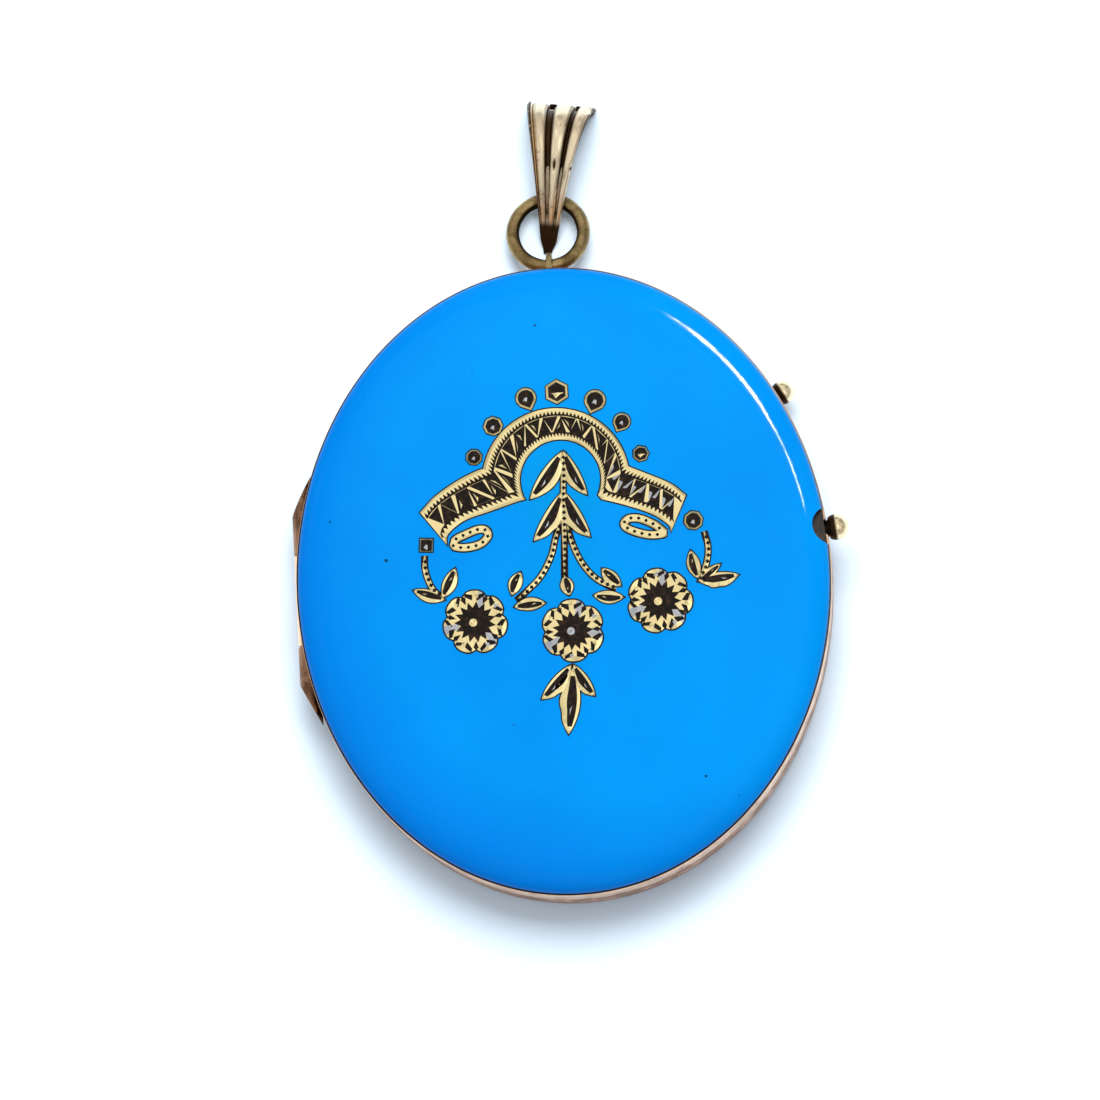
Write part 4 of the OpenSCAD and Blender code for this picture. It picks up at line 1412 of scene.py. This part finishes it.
# %% Top spray
def make_top_spray():
    piece = Piece("top_spray_cut", *ORNAMENT)
    stem(piece, [(0.1, 2.9), (-0.21, 2.05), (-0.51, 1.05), (-1.09, 0.05), (-1.79, -0.62), (-2.4, -1.12)])
    stem(piece, [(0.43, 2.6), (0.59, 1.79), (0.99, 0.76), (1.54, -0.04), (2.17, -0.54), (2.76, -0.83)])
    leaf(piece, (0.36, 6.5), (-1.43, 4.09), 0.95, 0.2, -1)
    leaf(piece, (0.44, 6.5), (1.53, 4.13), 0.8, -0.2, 1)
    leaf(piece, (0.27, 4.4), (-1.36, 1.9), 0.9, 0.25, -1, 3)
    leaf(piece, (0.33, 4.4), (1.58, 1.93), 0.9, -0.25, 1, 3)
    stem(piece, [(0.42, 6.5), (0.36, 5.39), (0.27, 3.8), (0.24, 2.2), (0.13, -0.2)])
    leaf(piece, (0.13, 0), (0.33, -1.04), 0.66, 0.0, 1)
    return finish_motif(piece, "top_spray")


make_top_spray()

# %% Side leaves, festoons and drop
def make_spray(name, node, leaves, stems=()):
    """One group of stems and leaves as a single inlaid piece."""
    piece = Piece(name, *ORNAMENT)
    for points in stems:
        stem(piece, points)
    for base, tip, width, bow, bright, lobes in leaves:
        leaf(piece, base, tip, width, bow, bright, lobes)
    return finish_motif(piece, node)


make_spray("left_leaves_cut", "left_leaves", [
    ((-2.63, -0.84), (-2.1, 0.36), 0.68, 0.05, 1, 0), ((-2.55, -1.44), (-0.9, -1.34), 0.66, 0.05, -1, 0)])
make_spray("right_leaves_cut", "right_leaves", [
    ((3.02, -0.72), (2.06, 0.27), 0.68, 0.05, -1, 0), ((3.14, -1.3), (1.55, -1.1), 0.66, 0.05, 1, 0)])
make_spray("left_festoon_cut", "left_festoon", [
    ((-6.2, -0.75), (-5.45, 0.78), 0.7, -0.05, 1, 0), ((-6.05, -0.85), (-7.69, -0.24), 0.64, 0.05, -1, 0),
], [[(-7, 1.52), (-7.01, 0.73), (-6.7, -0.2), (-6.15, -0.78)]])
make_spray("right_festoon_cut", "right_festoon", [
    ((7, -0.6), (6.67, 0.92), 0.66, 0.05, 1, 0), ((6.95, -0.75), (8.19, 0.12), 0.45, 0, -1, 0),
    ((6.95, -0.7), (9.08, -0.52), 0.76, -0.1, 1, 2),
], [[(7.42, 1.85), (7.58, 1.01), (7.42, 0.1), (7.02, -0.62)]])
make_spray("drop_spray_cut", "drop_spray", [
    ((0.24, -4.62), (-1.39, -6.33), 0.8, 0.15, -1, 3), ((0.1, -5), (-0.8, -5.9), 0.4, 0.05, 1, 0),
    ((0.34, -4.62), (1.37, -6.32), 0.76, -0.15, 1, 3), ((0.29, -4.8), (-0.1, -8.23), 1.0, 0, 1, 3)])

# %% Flowers
STAR_SPIKES = 15


def flower_gold(piece, spot, rim, turn, fine):
    """The gold of a flower: sloping rings of small facets, some of them grey."""
    slopes = ((0.985, DARK_Z - 0.004), (0.985, DARK_Z + 0.012), (0.84, GOLD_Z + 0.02), (0.5, DARK_Z + 0.02))
    rows = []
    for share, z in slopes:
        row = []
        for k in range(fine):
            a = turn + 360 * k / fine
            dip = 0.02 * (k % 12 == 0) - 0.008 * (k % 4 == 2)
            row.append(piece.point(*spot(share * rim(a), a), z - dip * (0.6 < share < 0.9)))
        rows.append(row)
    for n, (a, b) in enumerate(zip(rows, rows[1:])):
        for k in range(fine):
            m = (k + 1) % fine
            silver = n >= 1 and (k // 4) % 7 == 3
            piece.face((a[k], a[m], b[m], b[k]), GREY if silver else GOLD)
    piece.face(rows[-1], GOLD)
    piece.face(reversed(rows[0]), GOLD)


def petal_cuts(piece, spot, start, wide, chance):
    """The dark cuts and the bright chip of one petal."""
    notch = [spot(0.88, start), spot(0.80, start - 6), spot(0.60, start + 1), spot(0.80, start + 6)]
    facets(piece, notch, GOLD_Z + 0.005, GOLD_Z + 0.05, DARK)
    for shift, tilt in ((0.27, -7), (0.70, 7)):
        a = start + wide * (shift + chance.uniform(-0.06, 0.06))
        low_end = chance.uniform(0.64, 0.72)
        cut = [spot(0.96, a + tilt), spot(0.85, a - 9), spot(low_end, a - tilt), spot(0.83, a + 8)]
        facets(piece, cut, GOLD_Z + 0.005, GOLD_Z + 0.05, DARK)
    a = start + wide * (0.48 + chance.uniform(-0.08, 0.08))
    chip = [spot(0.92, a - 4), spot(0.74, a - 5), spot(0.80, a + 6)]
    facets(piece, chip, GOLD_Z + 0.01, GOLD_Z + 0.06, GREY if chance.random() < 0.5 else GOLD)


def flower_middle(piece, spot, radius, turn, core):
    """The black star of a flower and the small bead on it."""
    top = GOLD_Z + 0.036
    star = []
    for k in range(2 * STAR_SPIKES):
        star.append(spot(0.66 if k % 2 == 0 else 0.46, turn + 180 * k / STAR_SPIKES))
    slab(piece, star, DARK_Z, top, DARK, 0.01)
    size, height, steps = 0.13 * radius, 0.045, 8
    profile = [(-0.03, 0.0), (-0.03, size)]
    for k in range(steps):
        a = math.pi / 2 * k / steps
        profile.append((height * math.sin(a), size * math.cos(a)))
    profile.append((height, 0.0))
    middle = spot(0.06, 200)
    lathe(piece, (middle.x, middle.y, top), (0, 0, 1), profile, 20, core)
    if core == GREY:
        facets(piece, polygon(middle, 0.07 * radius, 10), GOLD_Z + 0.05, GOLD_Z + 0.09, DARK)


def make_flower(name, node, centre, radius, petals, turn, core):
    """A flower: bright faceted petals with black cuts, a black star and a small bead."""
    piece = Piece(name, *ORNAMENT)
    centre = Vector(centre)
    fine = 12 * petals
    wide = 360 / petals
    chance = random.Random(name)

    def spot(share, degrees):
        a = math.radians(degrees)
        return centre + radius * share * Vector((math.cos(a), math.sin(a)))

    def rim(degrees):
        return 1 - 0.15 * (1 - abs(math.sin(math.radians(petals * (degrees - turn) / 2)))) ** 1.6

    seat(piece, [spot(rim(360 * k / fine), 360 * k / fine) for k in range(fine)])
    flower_gold(piece, spot, rim, turn, fine)
    for p in range(petals):
        petal_cuts(piece, spot, turn + wide * p, wide, chance)
    flower_middle(piece, spot, radius, turn, core)
    return finish_motif(piece, node)


make_flower("flower_left_cut", "flower_left", (-4.58, -2.1), 1.66, 7, 12, GOLD)
make_flower("flower_centre_cut", "flower_centre", (0.41, -2.86), 1.62, 6, 0, GREY)
make_flower("flower_right_cut", "flower_right", (4.96, -1.6), 1.68, 7, 20, GOLD)

# %% Edges of the ribbon arch
WING_STEPS, ARCH_STEPS = 26, 72


def even_line(points, count):
    """The same line with evenly spaced points."""
    lengths = [0.0]
    for a, b in zip(points, points[1:]):
        lengths.append(lengths[-1] + (b - a).length)
    line, k = [], 0
    for i in range(count + 1):
        wanted = lengths[-1] * i / count
        while k < len(points) - 2 and lengths[k + 1] < wanted:
            k += 1
        span = max(1e-9, lengths[k + 1] - lengths[k])
        line.append(points[k] + (points[k + 1] - points[k]) * ((wanted - lengths[k]) / span))
    return line


def ribbon_edge(left_wing, arch, right_wing):
    """One edge of the ribbon: a curved wing, an arc given as for arc_line, and the other wing."""
    edge = even_line(smooth_line(left_wing), WING_STEPS)[:-1]
    edge += even_line(arc_line(*arch), ARCH_STEPS)
    return edge + even_line(smooth_line(right_wing), WING_STEPS)[1:]


RIBBON_OUTER = ribbon_edge(
    [(-7.12, 3.78), (-6.32, 4.56), (-5.16, 5.29), (-4.08, 5.77), (-3.77, 5.85)],
    ((-0.05, 4.98), 3.8, 167, 8),
    [(3.72, 5.5), (4.0, 5.35), (4.71, 5.02), (5.87, 4.43), (6.6, 3.79)],
)
RIBBON_INNER = ribbon_edge(
    [(-5.83, 2.02), (-5.75, 2.55), (-4.87, 3.21), (-3.53, 3.61), (-1.84, 4.1)],
    ((0.2, 5.03), 2.1, 206, -26),
    [(2.1, 3.92), (3.44, 3.49), (4.73, 2.96), (5.6, 2.34), (5.73, 1.95)],
)
RIBBON_STEPS = len(RIBBON_OUTER) - 1
print("ribbon steps:", RIBBON_STEPS)

# %% Ribbon arch
def on_ribbon(i, s):
    """A point of the ribbon: i steps along it and a share s from its outer to its inner edge."""
    i = min(max(i, 0.0), RIBBON_STEPS - 1e-6)
    k = int(i)
    f = i - k
    a = RIBBON_OUTER[k] * (1 - f) + RIBBON_OUTER[k + 1] * f
    b = RIBBON_INNER[k] * (1 - f) + RIBBON_INNER[k + 1] * f
    return a * (1 - s) + b * s


def on_wing(i):
    return not WING_STEPS <= i < WING_STEPS + ARCH_STEPS


def ribbon_gold(piece):
    """The ribbon's gold: two raised borders and a shallow middle."""
    shares = (0.0, 0.0, 0.06, 0.15, 0.26, 0.5, 0.74, 0.85, 0.94, 1.0, 1.0)
    heights = (-0.045, -0.03, 0.012, 0.008, -0.012, 0.0, -0.012, 0.008, 0.012, -0.03, -0.045)
    rings = []
    for i in range(RIBBON_STEPS + 1):
        rings.append([piece.point(*on_ribbon(i, s), GOLD_Z + z) for s, z in zip(shares, heights)])
    piece.join(rings, GOLD)
    piece.face(reversed(rings[0]), GOLD)
    piece.face(rings[-1], GOLD)


def border_teeth(piece):
    """A dark line with a row of small teeth along each border."""
    i = 0.9
    while i < RIBBON_STEPS - 1.2:
        for base, reach in ((0.21, 0.085), (0.79, 0.915)):
            tooth = [on_ribbon(i - 0.66, base), on_ribbon(i + 0.66, base), on_ribbon(i + 0.15, reach)]
            facets(piece, tooth, GOLD_Z + 0.004, GOLD_Z + 0.03, DARK)
        i += 1.45 if on_wing(i) else 1.4
    stations = [0.6 + (RIBBON_STEPS - 1.2) * k / 150 for k in range(151)]
    for base, deep in ((0.195, 0.245), (0.755, 0.805)):
        line = [on_ribbon(k, base) for k in stations] + [on_ribbon(k, deep) for k in reversed(stations)]
        slab(piece, line, GOLD_Z - 0.03, GOLD_Z + 0.016, DARK, 0.0)


def middle_triangles(piece):
    """Dark triangles that point in and out by turns, with small bright chips between them."""
    chance = random.Random(5)
    i, turn = 1.0, 0
    while i < RIBBON_STEPS - 4.4:
        wide = (4.9 if on_wing(i) else 6.0) * chance.uniform(0.9, 1.1)
        near, far = (0.25, 0.73) if turn % 2 == 0 else (0.75, 0.27)
        lean = chance.uniform(-0.15, 0.15) * wide
        first, second = on_ribbon(i, near), on_ribbon(i + 0.98 * wide, near)
        third = on_ribbon(i + wide / 2 + lean, far)
        middle = (first + second + third) / 3
        peak = middle + Vector((0.03, 0.05))
        facets(piece, [first, second, third], GOLD_Z - 0.012, GOLD_Z + 0.03, DARK, peak)
        if i > WING_STEPS + 0.9 * ARCH_STEPS:
            chip = [first * 0.6 + third * 0.4, third, middle]
            facets(piece, chip, GOLD_Z, GOLD_Z + 0.045, GREY)
        elif chance.random() < 0.35:
            chip = [middle * 0.5 + first * 0.5, middle * 0.5 + third * 0.5, middle]
            facets(piece, chip, GOLD_Z, GOLD_Z + 0.045, GOLD)
        i += 0.57 * wide
        turn += 1


def make_ribbon():
    piece = Piece("ribbon_arch_cut", *ORNAMENT)
    whole = grow(RIBBON_OUTER + RIBBON_INNER[::-1], SEAT_MARGIN)
    slab(piece, whole, SEAT_Z, DARK_Z, DARK, 0.0)
    ribbon_gold(piece)
    border_teeth(piece)
    middle_triangles(piece)
    return finish_motif(piece, "ribbon_arch")


make_ribbon()

# %% Curls
CURL_WIDTH = 0.36


def make_curl(name, node, points):
    """A turned-over ribbon end: a closed gold loop with punch marks along it."""
    piece = Piece(name, *ORNAMENT)
    points = [Vector(p) for p in points]
    line = smooth_line(points[-2:] + points + points[:2], 8)[16:-16]
    sides = []
    for before, after in zip(line[-1:] + line[:-1], line[1:] + line[:1]):
        way = after - before
        sides.append(Vector((-way.y, way.x)).normalized())
    half = CURL_WIDTH / 2
    rim = half + 0.08
    dark = ((rim, SEAT_Z), (rim, DARK_Z), (-rim, DARK_Z), (-rim, SEAT_Z))
    gold = (
        (half, DARK_Z - 0.004), (half, DARK_Z + 0.012), (half - 0.07, GOLD_Z), (0, GOLD_Z + 0.008),
        (0.07 - half, GOLD_Z), (-half, DARK_Z + 0.012), (-half, DARK_Z - 0.004),
    )
    for shape, material in ((dark, DARK), (gold, GOLD)):
        rows = []
        for reach, z in shape:
            rows.append([piece.point(*(p + reach * n), z) for p, n in zip(line, sides)])
        piece.join(rows, material, looped=True)
    punch_row(piece, line + line[:1], 0.105, 0.40, GOLD_Z - 0.005, GOLD_Z + 0.035)
    return finish_motif(piece, node)


make_curl("ribbon_curl_left_cut", "ribbon_curl_left", [
    (-5.5, 1.93), (-4.9, 1.80), (-4.15, 1.92), (-3.70, 2.3),
    (-3.78, 2.64), (-4.2, 2.70), (-4.8, 2.50), (-5.4, 2.24),
])
make_curl("ribbon_curl_right_cut", "ribbon_curl_right", [
    (5.4, 1.92), (4.9, 1.83), (4.3, 1.92), (3.6, 2.2),
    (3.34, 2.5), (3.6, 2.76), (4.2, 2.72), (5.0, 2.3),
])

# %% Beads
GREY_CHIP = ((-0.38, -0.3), (0.1, -0.5), (0.3, 0.1), (-0.1, 0.3))
GOLD_CHIP = ((-0.5, -0.1), (-0.1, -0.55), (0.55, -0.1), (0.1, 0.1))


def bead(piece, centre, radius, sides=12, turn=0.0, core=DARK, point=None):
    """A bead: a dark seat, a thin faceted gold rim and a cut black middle with one bright chip."""
    centre = Vector(centre)
    rim = polygon(centre, radius, sides, turn)
    if point is not None:
        nose_way = Vector((math.cos(math.radians(point)), math.sin(math.radians(point))))
        rim = [centre + 1.35 * radius * nose_way] + arc_line(centre, radius, point + 50, point + 310, 14)
    seat(piece, rim)
    inner = [centre + (p - centre) * 0.80 for p in rim]
    crest = [(a + b) / 2 for a, b in zip(rim, inner)]
    slopes = (
        (rim, DARK_Z - 0.004), (rim, DARK_Z + 0.01), (crest, GOLD_Z + 0.01),
        (inner, DARK_Z + 0.01), (inner, DARK_Z - 0.004),
    )
    rows = [[piece.point(p.x, p.y, z) for p in line] for line, z in slopes]
    piece.join(rows, GOLD, looped=True)
    heart = [centre + (p - centre) * 0.77 for p in rim]
    facets(piece, heart, DARK_Z - 0.004, GOLD_Z - 0.01, DARK)
    chip = [centre + radius * Vector(v) for v in (GOLD_CHIP if core == GOLD else GREY_CHIP)]
    facets(piece, chip, DARK_Z, GOLD_Z, GOLD if core == GOLD else GREY)


crown = Piece("crown_beads_cut", *ORNAMENT)
bead(crown, (-4.2, 6.5), 0.42, 8, 15)
bead(crown, (-3.13, 8.06), 0.5, 8, 0)
bead(crown, (-1.36, 9.42), 0.52, point=-70)
bead(crown, (0.25, 9.63), 0.64, 6, 30, core=GOLD)
bead(crown, (2.2, 9.06), 0.54, point=-112)
bead(crown, (3.52, 7.86), 0.44, point=-120)
bead(crown, (4.4, 6.12), 0.42, 7, 0, core=GOLD)
finish_motif(crown, "crown_beads")
ends = Piece("end_beads_cut", *ORNAMENT)
bead(ends, (-6.89, 2.06), 0.48, 4, 40)
bead(ends, (6.9, 2.46), 0.5, 8, 10)
finish_motif(ends, "end_beads")

# %% [markdown]
# ## The studio
# The locket lies on its back on a plain near-white sheet. A broad soft key light stands beyond
# the top edge, and its own mirror image is left out. A white sky with soft grey patches lights
# the rest, and gives the polished facets something to flash with. A strip and a small flare on
# the right reach only the enamel, and draw one thin bright line along its shoulder.

# %% Floor
def make_floor():
    """The sheet, a hair below the locket so that the two never share a plane."""
    bpy.ops.mesh.primitive_plane_add(size=1.2, location=(0, 0, -0.02 * MM))
    floor = bpy.context.object
    floor.name = "floor"
    material, tree, shader = start_material("white sheet")
    grain = noise(tree, scaled_place(tree, 1.0), Scale=0.6, Detail=3.0)
    colour = blend_colour(tree, grain, (0.69, 0.82, 0.96, 1), (0.71, 0.83, 0.97, 1))
    tree.links.new(colour, shader.inputs["Base Color"])
    shader.inputs["Roughness"].default_value = 0.9
    floor.data.materials.append(material)
    print("floor:", material.name)


make_floor()

# %% Lights
def soft_light(name, place, target, wide, tall, power, colour=(1, 1, 1)):
    """A rectangular area light at a place in metres, turned towards a target."""
    lamp = bpy.data.lights.new(name, "AREA")
    lamp.shape, lamp.size, lamp.size_y = "RECTANGLE", wide, tall
    lamp.energy, lamp.color = power, colour
    holder = bpy.data.objects.new(name, lamp)
    holder.location = place
    holder.rotation_euler = (Vector(target) - Vector(place)).to_track_quat("-Z", "Y").to_euler()
    bpy.context.scene.collection.objects.link(holder)
    return holder


key = soft_light("key", (0.04, 0.17, 0.42), (0, 0, 0), 0.24, 0.24, 2.2, (1.0, 0.98, 0.95))
key.visible_glossy = False
strip = soft_light("strip", (0.146, 0.165, 0.324), (0, 0, 0.004), 0.18, 0.017, 2.3)
flare = soft_light("flare", (0.127, 0.181, 0.324), (0, 0, 0.004), 0.09, 0.042, 3.6)
enamel_only = bpy.data.collections.new("enamel only")
enamel_only.objects.link(bpy.data.objects["front_enamel_glass"])
for lamp in (strip, flare):
    lamp.visible_diffuse = False
    lamp.light_linking.receiver_collection = enamel_only
print("lights:", key.name, strip.name, flare.name)

# %% Sky
VIEW_WAY = Vector((0.06, -0.17, 0.98)).normalized()
MIRROR_WAY = Vector((-VIEW_WAY.x, -VIEW_WAY.y, VIEW_WAY.z))


def studio_sky():
    """A white sky, brightest overhead, with soft grey patches but calm where the flat face mirrors it."""
    world = bpy.data.worlds.new("studio")
    bpy.context.scene.world = world
    world.use_nodes = True
    tree = world.node_tree
    tree.nodes.clear()
    unit = add(tree, "ShaderNodeVectorMath", operation="NORMALIZE")
    tree.links.new(add(tree, "ShaderNodeTexCoord").outputs["Generated"], unit.inputs[0])
    opening = add(tree, "ShaderNodeVectorMath", operation="DOT_PRODUCT")
    tree.links.new(unit.outputs[0], opening.inputs[0])
    opening.inputs[1].default_value = MIRROR_WAY
    cap = fit(tree, opening.outputs["Value"], 0.35, 0.85, 0.60, 1.15)
    patches = fit(tree, noise(tree, unit.outputs[0], Scale=2.6, Detail=2.0), 0.40, 0.60, 0.45, 1.2)
    centre = fit(tree, opening.outputs["Value"], 0.97, 0.995)
    calm = math_node(tree, "MULTIPLY", centre, math_node(tree, "SUBTRACT", 0.85, patches))
    level = math_node(tree, "MULTIPLY", cap, math_node(tree, "ADD", patches, calm))
    back = add(tree, "ShaderNodeBackground")
    tree.links.new(level, back.inputs["Strength"])
    back.inputs["Color"].default_value = (0.94, 0.98, 1.0, 1)
    output = add(tree, "ShaderNodeOutputWorld")
    tree.links.new(back.outputs[0], output.inputs["Surface"])
    print("world:", world.name)


studio_sky()
bpy.context.scene.view_settings.view_transform = "Standard"

# %% [markdown]
# ## The camera
# The camera looks almost straight down, tipped ten degrees towards the lower edge and a
# little to the right, from about a third of a metre with a long lens.

# %% Camera
ROLL = math.radians(3.07)
DISTANCE = 0.35
LENS = 223.2
AIM_RIGHT, AIM_UP = -0.00061, 0.00134


def make_camera():
    """The camera, aimed at the enamel's face and shifted a little to frame the bail."""
    rough_up = Vector((math.sin(ROLL), math.cos(ROLL), 0))
    right = rough_up.cross(VIEW_WAY).normalized()
    up = VIEW_WAY.cross(right)
    aim = Vector((0, 0, FACE * MM)) + AIM_RIGHT * right + AIM_UP * up
    camera = bpy.data.cameras.new("camera")
    camera.lens, camera.sensor_width = LENS, 36.0
    camera.clip_start, camera.clip_end = 0.01, 10.0
    holder = bpy.data.objects.new("camera", camera)
    turned = Matrix((right, up, VIEW_WAY)).transposed().to_4x4()
    holder.matrix_world = Matrix.Translation(aim + VIEW_WAY * DISTANCE) @ turned
    bpy.context.scene.collection.objects.link(holder)
    bpy.context.scene.camera = holder
    print("camera lens:", camera.lens, "mm")


make_camera()
